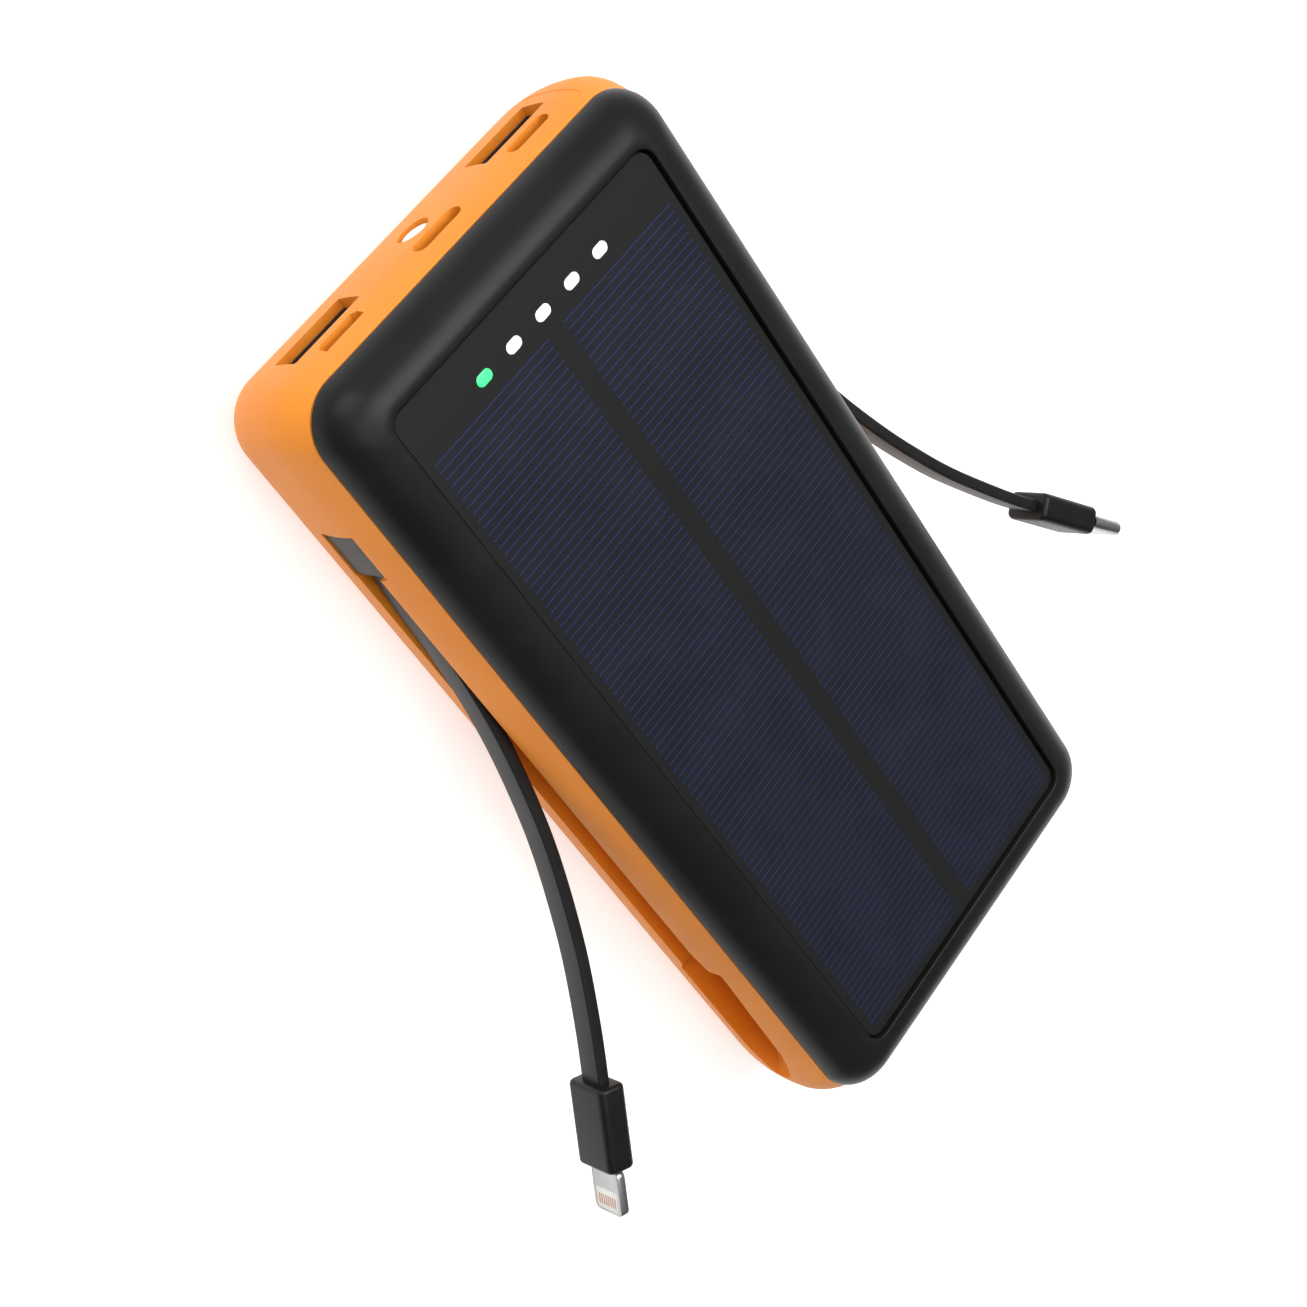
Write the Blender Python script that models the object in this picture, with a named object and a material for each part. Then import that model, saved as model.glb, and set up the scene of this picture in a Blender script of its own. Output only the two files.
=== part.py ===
"""Solar power bank with two built-in flat charging cables.

The body lies flat on its back with the solar panel facing up. +Y points to the end with the
sockets, X runs across the width, and z = 0 is the surface that the back rests on. Units: metres.
"""

import math

import bpy
import numpy as np
from mathutils import Matrix, Vector

# ---- driving dimensions -------------------------------------------------------------------
GAP = 0.0003  # clearance between pieces that touch

# casing: an orange tub below, a black frame above, meeting at the seam
BODY_WIDTH = 0.0762
BODY_LENGTH = 0.1532
BODY_HEIGHT = 0.0318
SEAM_WIDTH = 0.0730
SEAM_LENGTH = 0.1500
SEAM_Z = 0.0256
FLOOR = 0.0020
END_WALL = 0.0022
SIDE_HOLLOW_X = 0.0350
RIM_HOLLOW = (0.0335, 0.0723)
WIDEST_Z = 0.0175
UNDERCUT_SIDE = 0.0060
UNDERCUT_END = 0.0054
WIDEST_CORNER = 0.0070
BACK_CORNER = 0.0080
SEAM_CORNER = 0.0075

# solar window in the black frame
WINDOW_X = 0.0288
WINDOW_Y = 0.0673
WINDOW_CORNER = 0.0028
WINDOW_DEPTH = 0.0008
RIM_BAND = 0.0013
SHOULDER_TILT = 4.0
SHOULDER_END = 80.0
PANEL_THICK = 0.0012
CELL_IN_X = 0.00175
CELL_OUT_X = 0.0269
CELL_LOW_Y = -0.0653
CELL_HIGH_Y = 0.0581
CELL_THICK = 0.0003
INDICATOR_Y = 0.0611
INDICATOR_PITCH = 0.00655
INDICATOR_SIZE = (0.0030, 0.0019)

# channels along both long sides: anchor pocket, cable groove, plug pocket
CHANNEL_WALL_X = 0.0308
CHANNEL_TOP_Z = 0.0229
ANCHOR_Y = (0.0465, 0.0547)
ANCHOR_Z = (0.0113, 0.0198)
ANCHOR_FLOOR_X = 0.0325
GROOVE_Z = (0.0118, 0.0182)
GROOVE_FLOOR_X = 0.0342
PLUG_POCKET_FLOOR_X = 0.0325
POCKET_END_Y = -0.0704

# flat cables
CABLE_WIDTH = 0.0046
CABLE_THICK = 0.0021
LEFT_ROUTE = [
    (-0.03530, 0.0462, 0.0150), (-0.03575, 0.0432, 0.0150), (-0.03610, 0.0393, 0.0150),
    (-0.03635, 0.0338, 0.0150), (-0.03695, 0.0259, 0.0150), (-0.03797, 0.0185, 0.0150),
    (-0.03945, 0.0112, 0.0150), (-0.04126, 0.0043, 0.0150), (-0.04335, -0.0024, 0.0150),
    (-0.04582, -0.0088, 0.0150), (-0.04856, -0.0150, 0.0150), (-0.05153, -0.0211, 0.0150),
    (-0.05477, -0.0269, 0.0150), (-0.05818, -0.0326, 0.0150), (-0.06193, -0.0384, 0.0150),
]
RIGHT_ROUTE = [
    (0.03530, 0.0462, 0.0150), (0.03570, 0.0425, 0.0150), (0.03620, 0.0380, 0.0150),
    (0.03720, 0.0310, 0.0150), (0.03860, 0.0240, 0.0150), (0.04030, 0.0165, 0.0150),
    (0.04230, 0.0084, 0.0150), (0.04473, 0.0008, 0.0150), (0.04654, -0.0042, 0.0150),
    (0.04847, -0.0090, 0.0150), (0.05056, -0.0137, 0.0150), (0.05278, -0.0184, 0.0150),
    (0.05520, -0.0229, 0.0150), (0.05784, -0.0274, 0.0150), (0.06063, -0.0320, 0.0150),
    (0.06359, -0.0366, 0.0150), (0.06560, -0.0395, 0.0150),
]

# plugs on the cables, standing on their narrow side
PLUG_WIDTH = 0.0088
PLUG_THICK = 0.0050
PLUG_LENGTH = 0.0140
SLIM_TAB = (0.0067, 0.0015, 0.0076)
USB_C_TIP = (0.00834, 0.00256, 0.0070)

# sockets in the end wall
USB_A_X = (-0.0208, 0.0208)
USB_A_Z = 0.0147
USB_A_RECESS = (0.0132, 0.0052)
UPPER_PORT_Z = 0.0205
USB_C_SLOT = (0.0095, 0.0028)
MICRO_SLOT = (0.0078, 0.0024)
SMALL_SLOT = (0.0085, 0.0025)
MICRO_X = -0.0208
SMALL_X = 0.0206
TORCH_Z = 0.0147
TORCH_HOLE_RADIUS = 0.0027

# power button in the right side wall
BUTTON_Y = 0.0640
BUTTON_Z = 0.0208
BUTTON_SIZE = (0.0064, 0.0036)

# inside
BOARD_Z = (0.0177, 0.0188)
BOARD_X = 0.0275
BOARD_Y = (0.0370, 0.0738)
CELL_PACK_X = 0.0285
CELL_PACK_Y = (-0.0642, 0.0335)
CELL_PACK_THICK = 0.0090
POSTS = [(-0.0240, -0.0675), (0.0240, -0.0675), (-0.0091, 0.0670), (0.0091, 0.0670)]
POST_RADIUS = 0.0024
SCREW_HOLE = 0.0013

HALF_WIDTH = BODY_WIDTH / 2
HALF_LENGTH = BODY_LENGTH / 2
INNER_END_Y = HALF_LENGTH - END_WALL
PANEL_TOP_Z = BODY_HEIGHT - WINDOW_DEPTH
CORNER_STEPS = 7


# ---- materials ----------------------------------------------------------------------------
def material(name, colour, roughness, metallic=0.0):
    made = bpy.data.materials.new(name)
    made.use_nodes = True
    shader = made.node_tree.nodes["Principled BSDF"]
    shader.inputs["Base Color"].default_value = (*colour, 1.0)
    shader.inputs["Roughness"].default_value = roughness
    shader.inputs["Metallic"].default_value = metallic
    made.diffuse_color = (*colour, 1.0)
    return made


def make_materials():
    return {
        "orange": material("orange_plastic", (0.89, 0.26, 0.03), 0.55),
        "black": material("black_plastic", (0.018, 0.018, 0.019), 0.38),
        "panel": material("panel_laminate", (0.020, 0.020, 0.024), 0.35),
        "cell": material("solar_cell", (0.016, 0.019, 0.040), 0.30),
        "white": material("clear_light", (0.95, 0.95, 0.95), 0.30),
        "green": material("green_light", (0.08, 0.90, 0.35), 0.30),
        "cable": material("cable_rubber", (0.045, 0.045, 0.047), 0.50),
        "steel": material("plated_steel", (0.62, 0.62, 0.64), 0.25, 1.0),
        "gold": material("gold_contact", (0.80, 0.58, 0.25), 0.25, 1.0),
        "board": material("circuit_board", (0.01, 0.12, 0.05), 0.45),
        "foil": material("cell_foil", (0.45, 0.46, 0.50), 0.35, 0.6),
        "foam": material("grey_foam", (0.16, 0.16, 0.17), 0.90),
        "rubber": material("seal_rubber", (0.01, 0.01, 0.01), 0.70),
        "red": material("red_wire", (0.60, 0.02, 0.02), 0.50),
    }


# ---- mesh helpers -------------------------------------------------------------------------
def mesh_object(name, points, faces, look):
    mesh = bpy.data.meshes.new(name)
    mesh.from_pydata([tuple(p) for p in points], [], faces)
    mesh.update()
    made = bpy.data.objects.new(name, mesh)
    bpy.context.scene.collection.objects.link(made)
    if look:
        mesh.materials.append(look)
    return made


def rounded_ring(half_x, half_y, radius, z, centre=(0.0, 0.0), steps=CORNER_STEPS):
    """A rounded rectangle at height z, counterclockwise from above."""
    angles = np.linspace(0.0, math.pi / 2, steps)
    points = []
    for turn, (sx, sy) in enumerate([(1, 1), (-1, 1), (-1, -1), (1, -1)]):
        middle_x = centre[0] + sx * (half_x - radius)
        middle_y = centre[1] + sy * (half_y - radius)
        for angle in angles + turn * math.pi / 2:
            points.append((middle_x + radius * math.cos(angle), middle_y + radius * math.sin(angle), z))
    return points


def loft(name, rings, look=None):
    """A closed solid through rings with the same number of points, the first ring lowest."""
    count = len(rings[0])
    points = [p for ring in rings for p in ring]
    faces = [tuple(reversed(range(count)))]
    for level in range(len(rings) - 1):
        base = level * count
        for i in range(count):
            after = (i + 1) % count
            faces.append((base + i, base + after, base + count + after, base + count + i))
    faces.append(tuple(range((len(rings) - 1) * count, len(rings) * count)))
    return mesh_object(name, points, faces, look)


def box(name, low, high, look=None):
    """A box between two corners."""
    (x0, y0, z0), (x1, y1, z1) = low, high
    rings = [[(x0, y0, z), (x1, y0, z), (x1, y1, z), (x0, y1, z)] for z in (z0, z1)]
    return loft(name, rings, look)


def prism(name, outline, axis, start, end, look=None):
    """A flat outline swept along one axis. It is given in the other two axes' cyclic order."""
    def place(a, b, along):
        return {"X": (along, a, b), "Y": (b, along, a), "Z": (a, b, along)}[axis]

    return loft(name, [[place(a, b, s) for a, b in outline] for s in (start, end)], look)


def stadium(length, height, centre=(0.0, 0.0), steps=8):
    """A slot outline with round ends, its length along the first coordinate."""
    radius = height / 2
    reach = length / 2 - radius
    points = []
    for side, first in ((1, -math.pi / 2), (-1, math.pi / 2)):
        for angle in np.linspace(first, first + math.pi, steps):
            points.append((centre[0] + side * reach + radius * math.cos(angle),
                           centre[1] + radius * math.sin(angle)))
    return points


def circle(radius, centre=(0.0, 0.0), steps=24):
    angles = np.linspace(0.0, 2 * math.pi, steps, endpoint=False)
    return [(centre[0] + radius * math.cos(a), centre[1] + radius * math.sin(a)) for a in angles]


def swapped(outline):
    """The same outline with its two coordinates exchanged and its direction kept."""
    return [(b, a) for a, b in reversed(outline)]


def turned(name, profile, look, steps=24):
    """A solid turned about Z from (radius, z) pairs that run up the outside and end on the axis."""
    rings = [circle(radius, steps=steps) for radius, _ in profile]
    return loft(name, [[(x, y, z) for x, y in ring] for ring, (_, z) in zip(rings, profile)], look)


def boolean(target, tool, operation):
    change = target.modifiers.new(operation.lower() + "_" + tool.name, "BOOLEAN")
    change.operation = operation
    change.solver = "EXACT"
    change.object = tool
    tool.hide_render = True
    tool.display_type = "WIRE"
    return target


def cut(target, *tools):
    for tool in tools:
        boolean(target, tool, "DIFFERENCE")
    return target


def join(target, *tools):
    for tool in tools:
        boolean(target, tool, "UNION")
    return target


def smooth(target, angle=35.0):
    target.data.shade_smooth()
    target.data.set_sharp_from_angle(angle=math.radians(angle))
    return target


# ---- casing -------------------------------------------------------------------------------
def tub_rings():
    """The tub's outside: an elliptical undercut up to its widest level, then a lean in to the seam."""
    rings = []
    for angle in np.radians(np.linspace(0.0, 90.0, 8)):
        share = math.sin(angle)
        corner = BACK_CORNER + (WIDEST_CORNER - BACK_CORNER) * share
        rings.append(rounded_ring(HALF_WIDTH - UNDERCUT_SIDE * (1 - share), HALF_LENGTH - UNDERCUT_END * (1 - share),
                                  corner, WIDEST_Z * (1 - math.cos(angle))))
    for lift in (0.25, 0.5, 0.75, 1.0):
        share = (1 - lift) * (1 + lift)
        corner = SEAM_CORNER + (WIDEST_CORNER - SEAM_CORNER) * share
        rings.append(rounded_ring(SEAM_WIDTH / 2 + (BODY_WIDTH - SEAM_WIDTH) / 2 * share,
                                  SEAM_LENGTH / 2 + (BODY_LENGTH - SEAM_LENGTH) / 2 * share, corner,
                                  WIDEST_Z + (SEAM_Z - GAP / 2 - WIDEST_Z) * lift))
    return rings


def frame_rings():
    """The frame's outside: a circular shoulder from the seam up to the flat band round the window."""
    first = math.radians(SHOULDER_TILT)
    last = math.radians(SHOULDER_END)
    across = SEAM_WIDTH / 2 - WINDOW_X - RIM_BAND
    radius = across / (math.cos(first) - math.cos(last))
    rise = radius * (math.sin(last) - math.sin(first))
    lift = (BODY_HEIGHT - SEAM_Z - GAP / 2) / rise
    rings = []
    for angle in np.linspace(first, last, 7):
        inward = radius * (math.cos(first) - math.cos(angle))
        height = SEAM_Z + GAP / 2 + lift * radius * (math.sin(angle) - math.sin(first))
        corner = SEAM_CORNER + (WINDOW_CORNER + RIM_BAND - SEAM_CORNER) * inward / across
        rings.append(rounded_ring(SEAM_WIDTH / 2 - inward, SEAM_LENGTH / 2 - inward, corner, height))
    return rings


def straight_block(name, half_x, low_y, high_y, corner, low_z, high_z, look=None):
    centre = (0.0, (low_y + high_y) / 2)
    half_y = (high_y - low_y) / 2
    rings = [rounded_ring(half_x, half_y, corner, z, centre, 5) for z in (low_z, high_z)]
    return loft(name, rings, look)


def plug_pocket(name, side):
    """The pocket a plug lies in: level, then a floor that ramps out to a round end for a fingertip."""
    stations = [(-0.0360, 0.0118, 0.0182, 0.0), (-0.0405, 0.0118, 0.0191, 0.0), (-0.0411, 0.0118, 0.0210, 0.0),
                (-0.0416, 0.0116, 0.0212, 0.0), (-0.0432, 0.0100, 0.0212, 0.0), (-0.0530, 0.0100, 0.0206, 0.0),
                (-0.0630, 0.0100, 0.0200, 0.0)]
    ramp_start = stations[-1][0]
    ramp_length = ramp_start - POCKET_END_Y
    ramp_radius = ramp_length ** 2 / (2 * 0.0062) + 0.0062 / 2
    for share in (0.25, 0.45, 0.62, 0.76, 0.87, 0.95, 0.995):
        squeeze = math.sqrt(1 - max(0.0, (share - 0.30) / 0.70) ** 2)
        raised = ramp_radius - math.sqrt(ramp_radius ** 2 - (share * ramp_length) ** 2)
        stations.append((ramp_start - share * ramp_length, 0.0148 - 0.0048 * squeeze, 0.0148 + 0.0050 * squeeze,
                         raised))
    outside = HALF_WIDTH + 0.0010
    rings = []
    for y, low, high, raised in reversed(stations):
        floor = PLUG_POCKET_FLOOR_X + raised
        ring = [(floor, low), (outside, low), (outside, high), (floor, high)]
        if side < 0:
            ring = [(-x, z) for x, z in reversed(ring)]
        rings.append([(x, y, z) for x, z in reversed(ring)])
    return loft(name, rings)


def side_box(name, side, near_x, far_x, y_range, z_range, look=None):
    """A box on one side of the body, from near_x out to far_x."""
    low_x, high_x = sorted((side * near_x, side * far_x))
    return box(name, (low_x, y_range[0], z_range[0]), (high_x, y_range[1], z_range[1]), look)


def build_tub(looks):
    tub = loft("rear_shell", tub_rings(), looks["orange"])
    above = SEAM_Z + 0.0020
    cut(
        tub,
        straight_block("upper_hollow", RIM_HOLLOW[0], -RIM_HOLLOW[1], RIM_HOLLOW[1], 0.0050, CHANNEL_TOP_Z, above),
        loft("lower_hollow", [rounded_ring(half_x, half_y, 0.0030, z, steps=5) for half_x, half_y, z in
                              ((0.0290, 0.0708, FLOOR), (CHANNEL_WALL_X, 0.0726, 0.0050),
                               (CHANNEL_WALL_X, 0.0738, 0.0085), (CHANNEL_WALL_X, INNER_END_Y, 0.0110),
                               (CHANNEL_WALL_X, INNER_END_Y, 0.0231))]),
        straight_block("socket_hollow", SIDE_HOLLOW_X, ANCHOR_Y[1] + 0.0015, INNER_END_Y - 0.0002, 0.0050,
                       0.0085, 0.0236),
    )
    for side, word in ((-1, "left"), (1, "right")):
        outside = HALF_WIDTH + 0.0010
        cut(
            tub,
            side_box(f"anchor_pocket_{word}", side, ANCHOR_FLOOR_X, outside, ANCHOR_Y, ANCHOR_Z),
            side_box(f"cable_groove_{word}", side, GROOVE_FLOOR_X, outside,
                     (-0.0420, ANCHOR_Y[0] + 0.0010), GROOVE_Z),
            plug_pocket(f"plug_pocket_{word}", side),
        )
    cut_ports(tub)
    cut(tub, ring_band("seal_groove", seal_rings(0.0010, 0.0022, SEAM_Z - 0.0014, above)))
    for number, (x, y) in enumerate(POSTS, 1):
        seat = prism(f"screw_seat_{number}", circle(0.0029, (x, y), 16), "Z", FLOOR - 0.0010, 0.0036)
        head = prism(f"head_recess_{number}", circle(0.0025, (x, y), 16), "Z", -0.0010, 0.0019)
        hole = prism(f"screw_hole_{number}", circle(SCREW_HOLE, (x, y), 12), "Z", 0.0010, 0.0050)
        join(tub, seat)
        cut(tub, head, hole)
    return smooth(tub)


def cut_ports(tub):
    """Openings in the end wall for the sockets and the torch, and in the side for the button."""
    start, end = INNER_END_Y - 0.0010, HALF_LENGTH + 0.0010
    width, height = USB_A_RECESS
    for number, x in enumerate(USB_A_X, 1):
        cut(tub, box(f"usb_a_recess_{number}", (x - width / 2, start, USB_A_Z - height / 2),
                     (x + width / 2, end, USB_A_Z + height / 2)))
    slots = {
        "usb_c_slot": stadium(*USB_C_SLOT, (0.0, UPPER_PORT_Z)),
        "small_slot": stadium(*SMALL_SLOT, (SMALL_X, UPPER_PORT_Z)),
        "micro_slot": micro_outline(MICRO_SLOT[0], MICRO_SLOT[1]),
        "torch_hole": circle(TORCH_HOLE_RADIUS, (0.0, TORCH_Z)),
    }
    for name, outline in slots.items():
        cut(tub, prism(name, swapped(outline), "Y", start, end))
    length, width = BUTTON_SIZE
    opening = stadium(length + 2 * GAP, width + 2 * GAP, (BUTTON_Y, BUTTON_Z))
    cut(tub, prism("button_hole", opening, "X", SIDE_HOLLOW_X - 0.0020, HALF_WIDTH + 0.0010))


def micro_outline(width, height, centre=(MICRO_X, UPPER_PORT_Z)):
    """A flat-topped slot whose two lower corners are cut off."""
    x, z = centre
    half, rise, slope = width / 2, height / 2, 0.36 * height
    return [(x - half + slope, z - rise), (x + half - slope, z - rise), (x + half, z - rise + slope),
            (x + half, z + rise), (x - half, z + rise), (x - half, z - rise + slope)]


def seal_rings(near, far, low_z, high_z):
    """A closed band that follows the seam, between two distances in from its edge."""
    outer = rounded_ring(SEAM_WIDTH / 2 - near, SEAM_LENGTH / 2 - near, SEAM_CORNER - near, low_z)
    inner = rounded_ring(SEAM_WIDTH / 2 - far, SEAM_LENGTH / 2 - far, SEAM_CORNER - far, low_z)
    section = [(outer, low_z), (outer, high_z), (inner, high_z), (inner, low_z)]
    return [[(p[0], p[1], z) for p in ring] for ring, z in section]


def ring_band(name, rings, look=None):
    """A closed band through four rings, the last joined back to the first."""
    count = len(rings[0])
    points = [p for ring in rings for p in ring]
    faces = []
    for level in range(4):
        base, above = level * count, ((level + 1) % 4) * count
        for i in range(count):
            after = (i + 1) % count
            faces.append((base + i, base + after, above + after, above + i))
    return mesh_object(name, points, faces, look)


def build_frame(looks):
    frame = loft("front_shell", frame_rings(), looks["black"])
    below = SEAM_Z - 0.0020
    ceiling = 0.0280
    cut(
        frame,
        straight_block("frame_hollow", SEAM_WIDTH / 2 - 0.0031, -SEAM_LENGTH / 2 + 0.0031,
                       SEAM_LENGTH / 2 - 0.0031, 0.0045, below, ceiling),
        straight_block("ledge_opening", 0.0250, -0.0630, 0.0640, 0.0030, below, BODY_HEIGHT),
        straight_block("window_pocket", WINDOW_X, -WINDOW_Y, WINDOW_Y, WINDOW_CORNER,
                       PANEL_TOP_Z - PANEL_THICK - GAP, BODY_HEIGHT + 0.0010),
    )
    for number, (x, y) in enumerate(POSTS, 1):
        post = prism(f"post_{number}", circle(POST_RADIUS, (x, y), 16), "Z", 0.0036 + GAP, ceiling + 0.0008)
        bore = prism(f"post_bore_{number}", circle(SCREW_HOLE, (x, y), 12), "Z", 0.0020, 0.0150)
        join(frame, post)
        cut(frame, bore)
    return smooth(frame)


def build_seal(looks):
    rings = seal_rings(0.0010 + GAP, 0.0022 - GAP, SEAM_Z - 0.0014 + GAP, SEAM_Z - GAP / 2)
    return smooth(ring_band("seam_seal", rings, looks["rubber"]))


# ---- solar panel and charge lights --------------------------------------------------------
def build_panel(looks):
    low = PANEL_TOP_Z - PANEL_THICK
    sheet = straight_block("solar_panel_sheet", WINDOW_X - GAP, -WINDOW_Y + GAP, WINDOW_Y - GAP,
                           WINDOW_CORNER - GAP, low, PANEL_TOP_Z, looks["panel"])
    pocket_floor = PANEL_TOP_Z - CELL_THICK - GAP
    for side, word in ((-1, "left"), (1, "right")):
        low_x, high_x = sorted((side * CELL_IN_X, side * CELL_OUT_X))
        cut(sheet, box(f"cell_pocket_{word}", (low_x - GAP, CELL_LOW_Y - GAP, pocket_floor),
                       (high_x + GAP, CELL_HIGH_Y + GAP, PANEL_TOP_Z + 0.0010)))
        box(f"solar_cell_{word}", (low_x, CELL_LOW_Y, PANEL_TOP_Z - CELL_THICK),
            (high_x, CELL_HIGH_Y, PANEL_TOP_Z), looks["cell"])
    length, width = INDICATOR_SIZE
    for number in range(1, 6):
        centre = (INDICATOR_PITCH * (number - 3), INDICATOR_Y)
        opening = stadium(length + 2 * GAP, width + 2 * GAP, centre)
        cut(sheet, prism(f"indicator_hole_{number}", opening, "Z", low - 0.0010, PANEL_TOP_Z + 0.0010))
        look = looks["green" if number == 1 else "white"]
        smooth(prism(f"indicator_light_{number}", stadium(length, width, centre), "Z", 0.0276,
                     PANEL_TOP_Z, look))
    box("indicator_board", (-0.0180, 0.0585, 0.0262), (0.0180, 0.0637, 0.0272), looks["board"])
    return sheet


# ---- cables and their plugs ---------------------------------------------------------------
def smooth_route(route, spacing):
    """Points at an even spacing along a natural cubic spline through the route's own points."""
    knots = np.array(route)
    steps = np.linalg.norm(np.diff(knots, axis=0), axis=1)
    at = np.concatenate([[0.0], np.cumsum(steps)])
    count = len(knots)
    system = np.eye(count)
    right = np.zeros((count, 3))
    for i in range(1, count - 1):
        system[i, i - 1:i + 2] = steps[i - 1], 2 * (steps[i - 1] + steps[i]), steps[i]
        right[i] = 6 * ((knots[i + 1] - knots[i]) / steps[i] - (knots[i] - knots[i - 1]) / steps[i - 1])
    bend = np.linalg.solve(system, right)
    where = np.linspace(0.0, at[-1], int(round(at[-1] / spacing)) + 1)
    span = np.clip(np.searchsorted(at, where, side="right") - 1, 0, count - 2)
    width = steps[span][:, None]
    far = (where - at[span])[:, None] / width
    near = 1 - far
    curve = near * knots[span] + far * knots[span + 1]
    curve += width ** 2 / 6 * ((near ** 3 - near) * bend[span] + (far ** 3 - far) * bend[span + 1])
    return curve


def flat_cable(name, route, look):
    """A flat cable on edge: a curve whose bevel is a rounded strip, kept upright along its length."""
    outline = bpy.data.curves.new(name + "_section", "CURVE")
    strip = outline.splines.new("POLY")
    corners = list(reversed(rounded_ring(CABLE_THICK / 2, CABLE_WIDTH / 2, 0.0006, 0.0, steps=2)))
    strip.points.add(len(corners) - 1)
    for point, corner in zip(strip.points, corners):
        point.co = (*corner, 1.0)
    strip.use_cyclic_u = True
    section = bpy.data.objects.new(name + "_section", outline)
    bpy.context.scene.collection.objects.link(section)
    section.hide_render = True
    section.display_type = "WIRE"
    path = bpy.data.curves.new(name, "CURVE")
    path.dimensions = "3D"
    path.twist_mode = "Z_UP"
    path.bevel_mode = "OBJECT"
    path.bevel_object = section
    path.use_fill_caps = True
    spline = path.splines.new("POLY")
    points = smooth_route(route, 2.4 * CABLE_THICK / 2)
    spline.points.add(len(points) - 1)
    for point, place in zip(spline.points, points):
        point.co = (*place, 1.0)
    cable = bpy.data.objects.new(name, path)
    bpy.context.scene.collection.objects.link(cable)
    path.materials.append(look)
    return cable


def plug_frame(name, route):
    """An empty at a cable's far end: local +X runs on along the cable and local +Z is upright."""
    ends = [Vector(p) for p in smooth_route(route, CABLE_THICK)[-2:]]
    forward = (ends[1] - ends[0]).normalized()
    side = Vector((0.0, 0.0, 1.0)).cross(forward).normalized()
    up = forward.cross(side)
    holder = bpy.data.objects.new(name, None)
    bpy.context.scene.collection.objects.link(holder)
    turn = Matrix((forward, side, up)).transposed().to_4x4()
    holder.matrix_world = Matrix.Translation(ends[1]) @ turn
    return holder


def plug_housing(name, look):
    """A moulded grip along local X with round edges, slightly slimmer toward the metal."""
    rings = []
    for along, trim in ((0.0, 0.0006), (0.0005, 0.0001), (0.0012, 0.0), (PLUG_LENGTH - 0.0008, 0.0001),
                        (PLUG_LENGTH - 0.0003, 0.0003), (PLUG_LENGTH, 0.0008)):
        ring = rounded_ring(PLUG_THICK / 2 - trim, PLUG_WIDTH / 2 - trim, 0.0014 - trim, 0.0, steps=5)
        rings.append([(GAP + along, y, z) for y, z, _ in ring])
    return smooth(loft(name, rings, look))


def build_slim_plug(looks, route):
    holder = plug_frame("slim_plug_place", route)
    width, thick, length = SLIM_TAB
    start = PLUG_LENGTH + 2 * GAP
    housing = plug_housing("slim_plug_housing", looks["black"])
    rings = []
    for along, trim in ((0.0, 0.0), (length - 0.0012, 0.0), (length - 0.0004, 0.0004), (length, 0.0012)):
        ring = rounded_ring(thick / 2, width / 2 - trim, 0.0004, 0.0, steps=3)
        rings.append([(start + along, y, z) for y, z, _ in ring])
    tab = loft("slim_plug_tab", rings, looks["steel"])
    pieces = [housing, tab]
    for side, word in ((1, "left"), (-1, "right")):
        surface = thick / 2
        low_y, high_y = sorted((side * (surface - 0.0005), side * (surface + 0.0010)))
        pocket = box(f"contact_pocket_{word}", (start + 0.0030, low_y, -0.0026),
                     (start + 0.0066, high_y, 0.0026))
        low_y, high_y = sorted((side * (surface - 0.0002), side * surface))
        pad = box(f"slim_plug_contacts_{word}", (start + 0.0033, low_y, -0.0023),
                  (start + 0.0063, high_y, 0.0023), looks["gold"])
        cut(tab, pocket)
        pocket.parent = holder
        pieces.append(pad)
    for piece in pieces:
        piece.parent = holder


def build_usb_c_plug(looks, route):
    holder = plug_frame("usb_c_plug_place", route)
    width, thick, length = USB_C_TIP
    start = PLUG_LENGTH + 2 * GAP
    housing = plug_housing("usb_c_plug_housing", looks["black"])

    def tube(name, wall, first, last, look=None):
        outline = swapped(stadium(width - 2 * wall, thick - 2 * wall))
        return prism(name, outline, "X", first, last, look)

    shell = tube("usb_c_plug_shell", 0.0, start, start + length, looks["steel"])
    bore = tube("usb_c_plug_bore", 0.0003, start + 0.0008, start + length + 0.0010)
    cut(shell, bore)
    insert = tube("usb_c_plug_insert", 0.0006, start + 0.0008 + GAP, start + length - 0.0008, looks["black"])
    mouth = prism("usb_c_plug_mouth", swapped(stadium(0.0066, 0.0007)), "X", start + 0.0025, start + length)
    cut(insert, mouth)
    for piece in (housing, smooth(shell), bore, insert, mouth):
        piece.parent = holder


def build_anchors(looks):
    """The moulded block that holds each cable's inner end, a little below the side's surface."""
    for side, word in ((-1, "left"), (1, "right")):
        low_x, high_x = sorted((side * (ANCHOR_FLOOR_X + GAP), side * (HALF_WIDTH - 0.0009)))
        block = box(f"cable_anchor_{word}", (low_x, ANCHOR_Y[0] + GAP / 10, ANCHOR_Z[0] + GAP),
                    (high_x, ANCHOR_Y[1] - GAP, ANCHOR_Z[1] - GAP), looks["cable"])
        soften = block.modifiers.new("soft_edges", "BEVEL")
        soften.width = 0.0003
        soften.segments = 2


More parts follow.
